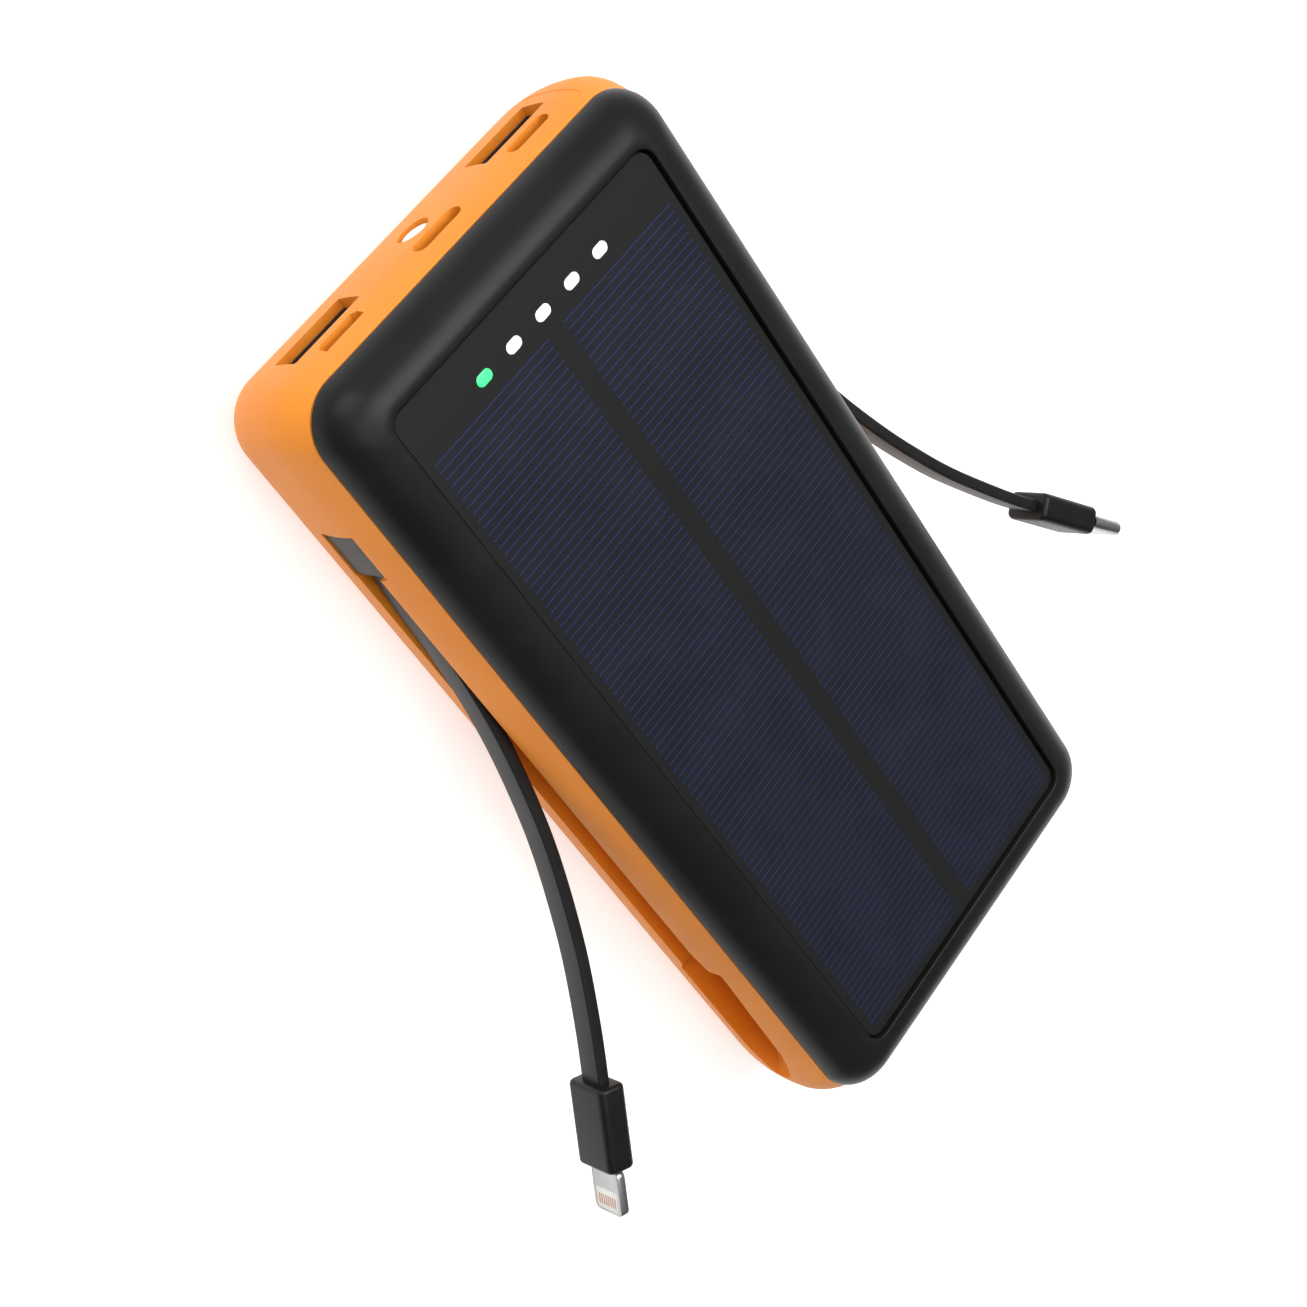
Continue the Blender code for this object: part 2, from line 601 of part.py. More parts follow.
# ---- sockets, torch and button ------------------------------------------------------------
def socket(name, outline_of, wall, depth, looks, tongue_size, tongue_z):
    """A metal socket open to the end, and the contact tongue inside it."""
    front = INNER_END_Y - GAP
    shell = prism(name, swapped(outline_of(0.0)), "Y", front - depth, front, looks["steel"])
    cut(shell, prism(name + "_bore", swapped(outline_of(wall)), "Y", front - depth + wall, front + 0.0010))
    x, z = tongue_z
    wide, tall = tongue_size
    back = front - depth + wall + GAP
    box(name.replace("socket", "tongue"), (x - wide / 2, back, z - tall / 2),
        (x + wide / 2, front - 0.0012, z + tall / 2), looks["board"] if wide < 0.009 else looks["white"])
    return smooth(shell)


def build_sockets(looks):
    for x, word in zip(USB_A_X, ("left", "right")):
        def outline(wall, x=x):
            half_x, half_z = 0.0066 - wall, 0.0026 - wall
            return [(x - half_x, USB_A_Z - half_z), (x + half_x, USB_A_Z - half_z),
                    (x + half_x, USB_A_Z + half_z), (x - half_x, USB_A_Z + half_z)]
        socket(f"usb_a_socket_{word}", outline, 0.0003, 0.0135, looks, (0.0111, 0.0016),
               (x, USB_A_Z + 0.0010))
    z = UPPER_PORT_Z + 0.0001

    def usb_c(wall):
        return stadium(0.0089 - 2 * wall, 0.0031 - 2 * wall, (0.0, z))

    def small(wall):
        return stadium(0.0080 - 2 * wall, 0.0028 - 2 * wall, (SMALL_X, z))

    def micro(wall):
        return micro_outline(0.0075 - 2 * wall, 0.0027 - 2 * wall, (MICRO_X, z))

    socket("usb_c_socket", usb_c, 0.0003, 0.0073, looks, (0.0060, 0.0007), (0.0, z))
    socket("small_input_socket", small, 0.0003, 0.0062, looks, (0.0052, 0.0006), (SMALL_X, z))
    socket("micro_usb_socket", micro, 0.0003, 0.0052, looks, (0.0045, 0.0006), (MICRO_X, z))


def build_torch(looks):
    """A lens in the end wall with a reflector and an LED behind it, on one line along Y."""
    face = HALF_LENGTH - 0.0015
    flange = INNER_END_Y - GAP
    lens = turned("torch_lens", [(0.0026, flange - 0.0009), (0.0029, flange - 0.0009), (0.0029, flange),
                                 (0.0024, flange), (0.0024, face - 0.0003), (0.0018, face)], looks["white"])
    reflector = turned("torch_reflector", [(0.0016, 0.0685), (0.0028, 0.0685), (0.0028, 0.0729)],
                       looks["steel"])
    cone = turned("torch_reflector_bore", [(0.0010, 0.0683), (0.0013, 0.0693), (0.0025, 0.0733)], None)
    led = turned("torch_led", [(0.0009, 0.0674), (0.0014, 0.0674), (0.0014, 0.0681)], looks["gold"])
    axis = bpy.data.objects.new("torch_axis", None)
    bpy.context.scene.collection.objects.link(axis)
    axis.rotation_euler = (-math.pi / 2, 0.0, 0.0)
    axis.location = (0.0, 0.0, TORCH_Z)
    cut(reflector, cone)
    for piece in (lens, reflector, cone, led):
        piece.parent = axis
        smooth(piece)


def build_button(looks):
    """The push button in the side wall, and the switch behind it with its own plunger."""
    length, width = BUTTON_SIZE
    face = HALF_WIDTH - 0.0008
    flange = (SIDE_HOLLOW_X - GAP - 0.0013, SIDE_HOLLOW_X - GAP)
    centre = (0.0, 0.0)

    def place(piece, origin_x):
        piece.location = (origin_x, BUTTON_Y, BUTTON_Z)
        return smooth(piece)

    cap = prism("power_button", stadium(length, width, centre), "X", flange[0] - face, 0.0)
    cap.data.materials.append(looks["black"])
    wide = prism("button_flange", stadium(length + 0.0012, width + 0.0012, centre), "X",
                 flange[0] - face, flange[1] - face)
    join(cap, wide)
    for piece in (cap, wide):
        place(piece, face)
    plunger_end = flange[0] - GAP
    body_face = plunger_end - 0.0012
    switch = box("switch_body", (body_face - 0.0052, BUTTON_Y - 0.0024, BOARD_Z[1] + GAP),
                 (body_face, BUTTON_Y + 0.0024, 0.0226), looks["black"])
    bore = prism("switch_bore", circle(0.0013, (BUTTON_Y, BUTTON_Z), 16), "X", body_face - 0.0024,
                 body_face + 0.0010)
    cut(switch, bore)
    plunger = prism("switch_plunger", circle(0.0010, centre, 16), "X", -0.0025, 0.0, looks["white"])
    place(plunger, plunger_end)


# ---- inside -------------------------------------------------------------------------------
def build_power_pack(looks):
    low_y, high_y = CELL_PACK_Y
    level = FLOOR + GAP
    stack = [("battery_pad_lower", 0.0008, "foam"), ("battery_cell_lower", CELL_PACK_THICK, "foil"),
             ("battery_cell_upper", CELL_PACK_THICK, "foil"), ("battery_pad_upper", 0.0024, "foam")]
    for name, thick, look in stack:
        straight_block(name, CELL_PACK_X, low_y, high_y, 0.0015, level, level + thick, looks[look])
        level += thick + GAP
    box("protection_board", (-0.0140, high_y + GAP, 0.0060), (0.0140, high_y + 0.0013, 0.0120),
        looks["board"])


def build_board(looks):
    low_y, high_y = BOARD_Y
    board = box("main_board", (-BOARD_X, low_y, BOARD_Z[0]), (BOARD_X, high_y, BOARD_Z[1]), looks["board"])
    join(board, box("switch_wing", (BOARD_X - 0.0040, 0.0585, BOARD_Z[0]), (0.0322, 0.0680, BOARD_Z[1])))
    for number, (x, y) in enumerate(POSTS[2:], 1):
        hole = circle(POST_RADIUS + 0.0004, (x, y), 16)
        cut(board, prism(f"board_hole_{number}", hole, "Z", BOARD_Z[0] - 0.0010, BOARD_Z[1] + 0.0010))
    top = BOARD_Z[1] + GAP
    coil = box("inductor", (-0.0160, 0.0420, top), (-0.0060, 0.0520, top + 0.0045), looks["foam"])
    soften = coil.modifiers.new("soft_edges", "BEVEL")
    soften.width = 0.0008
    soften.segments = 2
    box("controller_chip", (0.0000, 0.0440, top), (0.0070, 0.0510, top + 0.0010), looks["black"])
    for number, x in enumerate((0.0135, 0.0210), 1):
        smooth(prism(f"capacitor_{number}", circle(0.0032, (x, 0.0465), 16), "Z", top, top + 0.0070,
                     looks["foil"]))


def lead(name, route, radius, look):
    """A round wire clipped inside the casing."""
    path = bpy.data.curves.new(name, "CURVE")
    path.dimensions = "3D"
    path.bevel_depth = radius
    path.bevel_resolution = 2
    path.use_fill_caps = True
    spline = path.splines.new("POLY")
    points = smooth_route(route, 2.5 * radius)
    spline.points.add(len(points) - 1)
    for point, place in zip(spline.points, points):
        point.co = (*place, 1.0)
    path.materials.append(look)
    made = bpy.data.objects.new(name, path)
    bpy.context.scene.collection.objects.link(made)
    return made


def build_leads(looks):
    for x, word, look in ((-0.0040, "negative", "rubber"), (0.0040, "positive", "red")):
        lead(f"battery_lead_{word}",
             [(x, 0.0352, 0.0100), (x, 0.0366, 0.0108), (x, 0.0392, 0.0136), (x, 0.0410, 0.0168)],
             0.0005, looks[look])
        lead(f"solar_lead_{word}",
             [(x - 0.0180, 0.0400, 0.0289), (x - 0.0180, 0.0391, 0.0262), (x - 0.0180, 0.0387, 0.0230),
              (x - 0.0180, 0.0392, 0.0196)],
             0.0004, looks[look])


def build_screws(looks):
    """Four screws from the back, each head in its recess and its shank up a post of the frame."""
    profile = [(0.0021, 0.0002), (0.0021, 0.0016), (0.0010, 0.0016), (0.0010, 0.0130), (0.0005, 0.0138)]
    for number, (x, y) in enumerate(POSTS, 1):
        screw = turned(f"case_screw_{number}", profile, looks["steel"], 16)
        slots = [box(f"screw_drive_{number}_{turn}", (-0.0012, -0.0003, -0.0010), (0.0012, 0.0003, 0.0010))
                 for turn in (0, 90)]
        slots[1].rotation_euler = (0.0, 0.0, math.pi / 2)
        cut(screw, *slots)
        for piece in (screw, *slots):
            piece.location = (x, y, 0.0)
        smooth(screw)


def main():
    for old in list(bpy.data.objects):
        bpy.data.objects.remove(old, do_unlink=True)
    looks = make_materials()
    build_tub(looks)
    build_frame(looks)
    build_seal(looks)
    build_panel(looks)
    build_anchors(looks)
    flat_cable("flat_cable_left", LEFT_ROUTE, looks["cable"])
    flat_cable("flat_cable_right", RIGHT_ROUTE, looks["cable"])
    build_slim_plug(looks, LEFT_ROUTE)
    build_usb_c_plug(looks, RIGHT_ROUTE)
    build_sockets(looks)
    build_torch(looks)
    build_button(looks)
    build_power_pack(looks)
    build_board(looks)
    build_leads(looks)
    build_screws(looks)


main()
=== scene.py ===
# %% [markdown]
# # A solar power bank with two built-in cables
# The real object is a flat battery box: an orange tub below, a black frame above, a solar panel
# under the frame's window, and a short flat cable folded out on each side. The CAD model already
# fixes every place and joint. This lesson builds the visible skin round it and gives each piece
# its finish. All lengths are metres, +Z is up and +Y points to the end with the sockets.

import math

import bpy
import numpy as np
from mathutils import Matrix, Vector


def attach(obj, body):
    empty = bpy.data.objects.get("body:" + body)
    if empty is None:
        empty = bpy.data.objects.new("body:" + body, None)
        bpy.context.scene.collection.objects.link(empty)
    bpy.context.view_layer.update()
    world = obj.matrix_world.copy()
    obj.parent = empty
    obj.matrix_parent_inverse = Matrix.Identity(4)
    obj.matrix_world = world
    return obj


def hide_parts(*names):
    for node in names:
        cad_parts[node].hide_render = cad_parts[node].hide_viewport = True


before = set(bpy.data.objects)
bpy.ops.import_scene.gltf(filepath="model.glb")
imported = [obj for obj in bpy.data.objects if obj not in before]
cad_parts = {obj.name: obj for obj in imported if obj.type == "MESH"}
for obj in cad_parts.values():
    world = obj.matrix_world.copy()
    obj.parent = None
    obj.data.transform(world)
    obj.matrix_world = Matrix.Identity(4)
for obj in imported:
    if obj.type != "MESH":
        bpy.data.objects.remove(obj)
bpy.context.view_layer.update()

# %% [markdown]
# ## Camera
# A product camera stands high over one corner, so that the sockets, one long side and the panel
# are seen together. A long lens keeps the box's edges close to parallel.

# %% Place the camera
LENS = 0.06087
SENSOR = 0.036
CAMERA_AXES = ((0.57770, -0.52101, 0.62834), (0.72146, 0.68598, -0.09451), (-0.38179, 0.50792, 0.77218))
CAMERA_PLACE = (-0.13914, 0.17384, 0.27613)

lens_data = bpy.data.cameras.new("camera")
lens_data.lens = 1000 * LENS
lens_data.sensor_width = 1000 * SENSOR
lens_data.clip_start = 0.01
camera = bpy.data.objects.new("camera", lens_data)
bpy.context.scene.collection.objects.link(camera)
camera.matrix_world = Matrix.Translation(CAMERA_PLACE) @ Matrix(CAMERA_AXES).transposed().to_4x4()
bpy.context.scene.camera = camera
print("camera stands", round(Vector(CAMERA_PLACE).length, 3), "m away")

# %% [markdown]
# ## Surfaces from arrays
# Every moulded piece here is a skin: a stack of closed rings with the same number of points. One
# ring is one row of an array, which keeps each radius a number that can be read and changed.

# %% Rings and skins
GAP = 0.0003  # clearance between pieces that touch


def quarter(steps):
    """Evenly spaced angles over a quarter turn, which every rounding here follows."""
    return np.linspace(0.0, math.pi / 2, steps)


def unit(rows):
    """Each row as a vector one long."""
    return rows / np.linalg.norm(rows, axis=1)[:, None]


def corner_arcs(half_x, half_y, corner, steps):
    """Four quarter circles, one at each corner of a rectangle, as an array of (x, y): a corner's
    centre plus the radius times the cosine and sine of the angle."""
    turn = np.repeat(np.arange(4), steps)
    angle = np.tile(quarter(steps), 4) + turn * math.pi / 2
    sign_x = np.where((turn == 0) | (turn == 3), 1.0, -1.0)
    sign_y = np.where(turn < 2, 1.0, -1.0)
    return np.stack([sign_x * (half_x - corner) + corner * np.cos(angle),
                     sign_y * (half_y - corner) + corner * np.sin(angle)], axis=1)


def filled(outline, longest):
    """Where extra points go so that no two neighbours lie further apart than longest: for each
    point of the new outline, the old point it follows and its share of the way to the next."""
    ahead = np.roll(outline, -1, axis=0)
    pieces = np.maximum(1, np.ceil(np.linalg.norm(ahead - outline, axis=1) / longest)).astype(int)
    first = np.repeat(np.arange(len(outline)), pieces)
    share = (np.arange(pieces.sum()) - np.repeat(np.cumsum(pieces) - pieces, pieces)) / pieces[first]
    return first, share[:, None]


def rounded_rings(half_x, half_y, corner, height, steps=14, longest=None):
    """A stack of rounded rectangles as an array (level, point, xyz). Each level has its own half
    sizes, corner radius and height."""
    levels = [corner_arcs(x, y, r, steps) for x, y, r in zip(half_x, half_y, corner)]
    flat = np.array(levels)
    if longest:
        first, share = filled(flat[0], longest)
        flat = flat[:, first] * (1 - share) + np.roll(flat, -1, axis=1)[:, first] * share
    high = np.broadcast_to(np.array(height, float)[:, None, None], flat.shape[:2] + (1,))
    return np.concatenate([flat, high], axis=2)


def grid_faces(levels, count, looped):
    """Quads between neighbouring rings. Point j of ring i has the number i * count + j."""
    i, j = np.meshgrid(np.arange(levels if looped else levels - 1), np.arange(count), indexing="ij")
    up, on = (i + 1) % levels, (j + 1) % count
    return np.stack([i * count + j, i * count + on, up * count + on, up * count + j], -1).reshape(-1, 4)


def piece_from(name, points, faces, sharp=35.0):
    """A mesh object at the origin from a list of points and faces, smooth below the sharp angle."""
    mesh = bpy.data.meshes.new(name)
    mesh.from_pydata(points.tolist(), [], [tuple(face) for face in faces])
    mesh.update()
    mesh.shade_smooth()
    mesh.set_sharp_from_angle(angle=math.radians(sharp))
    made = bpy.data.objects.new(name, mesh)
    bpy.context.scene.collection.objects.link(made)
    return made


def skin(name, rings, looped=False, sharp=35.0):
    """A closed solid from an array of rings. The first and last get a flat cap, or, when looped,
    the last ring is joined to the first."""
    levels, count = rings.shape[:2]
    faces = grid_faces(levels, count, looped).tolist()
    if not looped:
        faces.append(list(range(count - 1, -1, -1)))
        faces.append(list(range((levels - 1) * count, levels * count)))
    return piece_from(name, rings.reshape(-1, 3), faces, sharp)


def stadium(length, height, steps=14):
    """A slot outline with half-circle ends, length along the first axis, centred."""
    radius = height / 2
    side = np.repeat([1.0, -1.0], steps)
    angle = np.tile(np.linspace(-math.pi / 2, math.pi / 2, steps), 2) + np.repeat([0.0, math.pi], steps)
    return np.stack([side * (length / 2 - radius) + radius * np.cos(angle), radius * np.sin(angle)], 1)


def circle(radius, steps=48):
    """A circle: radius times the cosine and sine of evenly spaced angles."""
    angle = np.linspace(0.0, 2 * math.pi, steps, endpoint=False)
    return radius * np.stack([np.cos(angle), np.sin(angle)], axis=1)


def grown(outline, by):
    """A convex outline moved outward along its own normals; a negative number shrinks it."""
    along = unit(np.roll(outline, -1, axis=0) - np.roll(outline, 1, axis=0))
    return outline + by * np.stack([along[:, 1], -along[:, 0]], axis=1)


def along_axis(outlines, distance, axis, centre=(0, 0, 0)):
    """Rings from flat outlines at distances along one axis. An outline's two coordinates follow
    the other two axes in cyclic order, so each skin faces outward."""
    third = "XYZ".index(axis)
    rings = np.zeros((len(outlines), len(outlines[0]), 3))
    rings[:, :, (third + 1) % 3] = np.array(outlines)[:, :, 0]
    rings[:, :, (third + 2) % 3] = np.array(outlines)[:, :, 1]
    rings[:, :, third] = np.array(distance)[:, None]
    return rings + np.array(centre)


def rod(name, outlines, distance, axis, centre=(0, 0, 0), **options):
    """A closed solid from flat outlines placed along an axis."""
    return skin(name, along_axis(outlines, distance, axis, centre), **options)


print("points round a small circle:", len(circle(0.001)))

# %% [markdown]
# ## The two flat cables
# Each cable is a flat strip that stands on its edge. It leaves a moulded block near the socket
# end, bends only in plan because it is stiff across its width, and ends in a plug. The route's
# points, all at one height, are the ones the CAD cable was made from.

# %% Sweep a strip along each route
CABLE_WIDTH = 0.0046
CABLE_THICK = 0.0021
CABLE_EDGE = 0.00040
CABLE_STEP = 0.0006
CABLE_Z = 0.0150
LEFT_ROUTE = [
    (-0.03530, 0.0462), (-0.03575, 0.0432), (-0.03610, 0.0393), (-0.03635, 0.0338), (-0.03695, 0.0259),
    (-0.03797, 0.0185), (-0.03945, 0.0112), (-0.04126, 0.0043), (-0.04335, -0.0024), (-0.04582, -0.0088),
    (-0.04856, -0.0150), (-0.05153, -0.0211), (-0.05477, -0.0269), (-0.05818, -0.0326), (-0.06193, -0.0384),
]
RIGHT_ROUTE = [
    (0.03530, 0.0462), (0.03570, 0.0425), (0.03620, 0.0380), (0.03720, 0.0310), (0.03860, 0.0240),
    (0.04030, 0.0165), (0.04230, 0.0084), (0.04473, 0.0008), (0.04654, -0.0042), (0.04847, -0.0090),
    (0.05056, -0.0137), (0.05278, -0.0184), (0.05520, -0.0229), (0.05784, -0.0274), (0.06063, -0.0320),
    (0.06359, -0.0366), (0.06560, -0.0395),
]


def smooth_route(route, spacing):
    """Even points along a natural cubic spline through the route. The bend at each knot solves
    one linear system, and each span mixes its two knots and their bends."""
    knots = np.array([(x, y, CABLE_Z) for x, y in route])
    steps = np.linalg.norm(np.diff(knots, axis=0), axis=1)
    at = np.concatenate([[0.0], np.cumsum(steps)])
    count = len(knots)
    inner = np.arange(1, count - 1)
    system = np.eye(count)
    system[inner, inner - 1], system[inner, inner] = steps[:-1], 2 * (steps[:-1] + steps[1:])
    system[inner, inner + 1] = steps[1:]
    slope = np.diff(knots, axis=0) / steps[:, None]
    right = np.zeros((count, 3))
    right[1:-1] = 6 * np.diff(slope, axis=0)
    bend = np.linalg.solve(system, right)
    where = np.linspace(0.0, at[-1], int(round(at[-1] / spacing)) + 1)
    span = np.clip(np.searchsorted(at, where, side="right") - 1, 0, count - 2)
    width = steps[span][:, None]
    far = (where - at[span])[:, None] / width
    near = 1 - far
    curve = near * knots[span] + far * knots[span + 1]
    return curve + width ** 2 / 6 * ((near ** 3 - near) * bend[span] + (far ** 3 - far) * bend[span + 1])


def route_frame(path):
    """Unit vectors along the path, to its side and up, one of each per point."""
    forward = unit(np.gradient(path, axis=0))
    side = unit(np.cross([0.0, 0.0, 1.0], forward))
    return forward, side, np.cross(forward, side)


def swept(path, section, side, up):
    """A section carried along a path: each ring is the path's point plus the section's first
    coordinate times the side vector plus its second times the up vector."""
    return path[:, None] + section[None, :, :1] * side[:, None] + section[None, :, 1:] * up[:, None]


def flat_cable(name, route):
    """A rounded strip swept along its route, run on a little into the pieces at both ends."""
    path = smooth_route(route, CABLE_STEP)
    forward, side, up = route_frame(path)
    section = corner_arcs(CABLE_THICK / 2, CABLE_WIDTH / 2, CABLE_EDGE, 5)
    rings = swept(path, section, side, up)
    rings[0] -= forward[0] * GAP
    rings[-1] += forward[-1] * GAP
    return skin(name, rings), path


cable_left, path_left = flat_cable("flat_cable_left_strip", LEFT_ROUTE)
cable_right, path_right = flat_cable("flat_cable_right_strip", RIGHT_ROUTE)
cable_lengths = [float(np.linalg.norm(np.diff(path, axis=0), axis=1).sum())
                 for path in (path_left, path_right)]
print("cable lengths in mm:", [round(1000 * length, 1) for length in cable_lengths])

# %% [markdown]
# ## Plugs
# Both plugs are slim black grips, overmoulded on the cable. The left one carries a flat tab with
# eight contacts on each face, held in a pale frame; the right one has an oval metal shell. They
# are made along X and then turned onto the cable's last direction.

# %% Grips
PLUG_WIDTH = 0.0088
PLUG_THICK = 0.0050
PLUG_LENGTH = 0.0140
PLUG_EDGE = 0.0013
PLUG_ROUND = 0.00075  # how far each end of a grip rounds in
TIP_START = PLUG_LENGTH + 2 * GAP


def end_of(path):
    """Where a plug sits: the cable's last point, and a turn whose X runs on along the cable."""
    forward, side, up = (axes[-1] for axes in route_frame(path))
    return path[-1], np.stack([forward, side, up])


def onto(place, rings):
    """Rings given in the plug's own axes, carried to the cable's end."""
    origin, axes = place
    return origin + rings @ axes


def grip(name, place):
    """A grip along X whose rounded section shrinks to its two ends on a quarter circle."""
    turn = quarter(9)
    trim = PLUG_ROUND * (1 - np.sin(turn))
    reach = PLUG_ROUND * (1 - np.cos(turn))
    along = np.concatenate([reach, PLUG_LENGTH - reach[::-1]]) + GAP
    trims = np.concatenate([trim, trim[::-1]])
    outlines = [corner_arcs(PLUG_THICK / 2 - cut, PLUG_WIDTH / 2 - cut, PLUG_EDGE - cut, 9)
                for cut in trims]
    return skin(name, onto(place, along_axis(outlines, along, "X")))


place_left, place_right = end_of(path_left), end_of(path_right)
grip_left = grip("slim_plug_grip", place_left)
grip_right = grip("usb_c_plug_grip", place_right)
print("grips end", [np.round(1000 * place[0], 1).tolist() for place in (place_left, place_right)])

# %% The slim tab with its contacts
TAB_WIDTH, TAB_THICK, TAB_LENGTH, TAB_CORNER = 0.0067, 0.0015, 0.0076, 0.0011
CONTACT_FROM, CONTACT_TO = TIP_START + 0.0046, TIP_START + 0.0064
CONTACT_HALF, CONTACT_CORNER, CONTACT_RISE = 0.00016, 0.00006, 0.00006
CONTACTS_OUT = 0.00196  # the outermost contact's distance from the middle
FRAME_FROM, FRAME_TO = TIP_START + 0.0036, TIP_START + 0.0071
FRAME_HALF, FRAME_CORNER, FRAME_RISE = 0.0026, 0.0005, 0.00003
SUNK = 0.0002  # how deep contacts and frames are set into the tab
PAD_EDGE = 0.00004


def plate_in_plug(name, place, start, end, half_width, low, high, corner, edge=0.0001):
    """A thin rounded plate in the plug's own axes: its outline lies in X and Z, and its
    thickness runs from low to high across the plug."""
    middle = (start + end) / 2
    outline = corner_arcs(half_width, (end - start) / 2, corner, 6)
    levels = np.array([low, low + edge, high - edge, high])
    outlines = [grown(outline, -edge), outline, outline, grown(outline, -edge)]
    return skin(name, onto(place, along_axis(outlines, levels, "Y", (middle, 0, 0))), sharp=50.0)


tab_pieces = [plate_in_plug("slim_plug_tab_core", place_left, TIP_START, TIP_START + TAB_LENGTH,
                            TAB_WIDTH / 2, -TAB_THICK / 2, TAB_THICK / 2, TAB_CORNER)]
for word, side in (("left", 1), ("right", -1)):
    for number, centre in enumerate(np.linspace(-CONTACTS_OUT, CONTACTS_OUT, 8), 1):
        face = side * TAB_THICK / 2
        low, high = sorted((face - side * SUNK, face + side * CONTACT_RISE))
        pad = plate_in_plug(f"slim_plug_contact_{word}_{number}", place_left, CONTACT_FROM, CONTACT_TO,
                            CONTACT_HALF, low, high, CONTACT_CORNER, PAD_EDGE)
        pad.data.transform(Matrix.Translation(Vector(place_left[1][2] * centre)))
        tab_pieces.append(pad)
    low, high = sorted((side * (TAB_THICK / 2 - SUNK), side * (TAB_THICK / 2 + FRAME_RISE)))
    tab_pieces.append(plate_in_plug(f"slim_plug_frame_{word}", place_left, FRAME_FROM, FRAME_TO,
                                    FRAME_HALF, low, high, FRAME_CORNER, PAD_EDGE))
print("tab pieces:", len(tab_pieces))

# %% The oval plug tip
TIP_WIDTH, TIP_THICK, TIP_LENGTH = 0.00834, 0.00256, 0.0070
TIP_WALL = 0.0003
TIP_LIP = 0.00022  # the shell's rounded mouth
CORE_LENGTH = 0.0022


def upright_stadium(wall):
    """The tip's outline less a wall, its length up the plug's Z axis, anticlockwise in (Y, Z)."""
    flat = stadium(TIP_WIDTH - 2 * wall, TIP_THICK - 2 * wall)
    return np.stack([flat[::-1, 1], flat[::-1, 0]], axis=1)


def oval(name, place, walls, along, looped=False):
    """A rod along the plug's X, or a tube when looped: one outline per wall and distance."""
    outlines = [upright_stadium(wall) for wall in walls]
    return skin(name, onto(place, along_axis(outlines, along, "X")), looped=looped)


tip_far = TIP_START + TIP_LENGTH
shell_walls = [0.0, 0.0, 0.00006, TIP_LIP, TIP_WALL, TIP_WALL]
shell_along = [TIP_START, tip_far - TIP_LIP, tip_far - 0.00006, tip_far, tip_far - 0.0001, TIP_START]
tip_shell = oval("usb_c_tip_shell", place_right, shell_walls, shell_along, looped=True)
tip_core = oval("usb_c_tip_core", place_right, [TIP_WALL + 0.00002] * 2, [TIP_START, TIP_START + CORE_LENGTH])
print("tip wall in mm:", 1000 * TIP_WALL)

for cable, side, path, length, carried in (
    (cable_left, -1, path_left, cable_lengths[0], [grip_left, *tab_pieces]),
    (cable_right, 1, path_right, cable_lengths[1], [grip_right, tip_shell, tip_core]),
):
    side * 0.0353
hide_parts("flat_cable_left")
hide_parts("flat_cable_right")
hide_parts("slim_plug_housing")
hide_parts("usb_c_plug_housing")
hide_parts("slim_plug_tab", "slim_plug_contacts_left", "slim_plug_contacts_right")
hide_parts("usb_c_plug_shell", "usb_c_plug_insert")

# %% [markdown]
# ## Cutting openings
# The tub has sockets, a torch hole, a button hole and a groove with pockets down each long side.
# Each opening is a closed cutter taken away with a Boolean, whose result is kept as a plain mesh.

# %% Cut with closed cutters
def settle(piece):
    """Replaces a piece's mesh with the result of its modifiers and clears them."""
    made = bpy.data.meshes.new_from_object(piece.evaluated_get(bpy.context.evaluated_depsgraph_get()))
    old = piece.data
    piece.modifiers.clear()
    piece.data = made
    made.name = old.name
    bpy.data.meshes.remove(old)
    made.shade_smooth()
    made.set_sharp_from_angle(angle=math.radians(35.0))


def combine(piece, operation, cutters):
    """Cuts or joins several closed solids one after another, then removes them."""
    for cutter in cutters:
        change = piece.modifiers.new(operation, "BOOLEAN")
        change.operation, change.solver, change.object = operation, "EXACT", cutter
    settle(piece)
    for cutter in cutters:
        bpy.data.objects.remove(cutter, do_unlink=True)


def block(name, low, high):
    """A plain cutter box between two corners."""
    (x0, y0, z0), (x1, y1, z1) = low, high
    flat = np.array([(x0, y0), (x1, y0), (x1, y1), (x0, y1)])
    return rod(name, [flat, flat], [z0, z1], "Z")


# %% [markdown]
# ## The orange tub
# The tub's side leans out on an elliptical curve from the flat back to its widest level, then
# leans in to the seam. The inside is hollow, with its wall further in where the grooves run.

# %% The outside of the tub
BODY_WIDTH, BODY_LENGTH, BODY_HEIGHT = 0.0762, 0.1532, 0.0318
HALF_WIDTH, HALF_LENGTH = BODY_WIDTH / 2, BODY_LENGTH / 2
SEAM_X, SEAM_Y, SEAM_Z = 0.0365, 0.0750, 0.0256
WIDEST_Z = 0.0175
UNDERCUT_SIDE, UNDERCUT_END = 0.0060, 0.0054
BACK_CORNER, WIDEST_CORNER, SEAM_CORNER = 0.0080, 0.0070, 0.0075
SEAM_EDGE = 0.00005
LEAN = 0.0016  # how far the wall above the widest level stands out from the seam
TUB_CELL = 0.0030


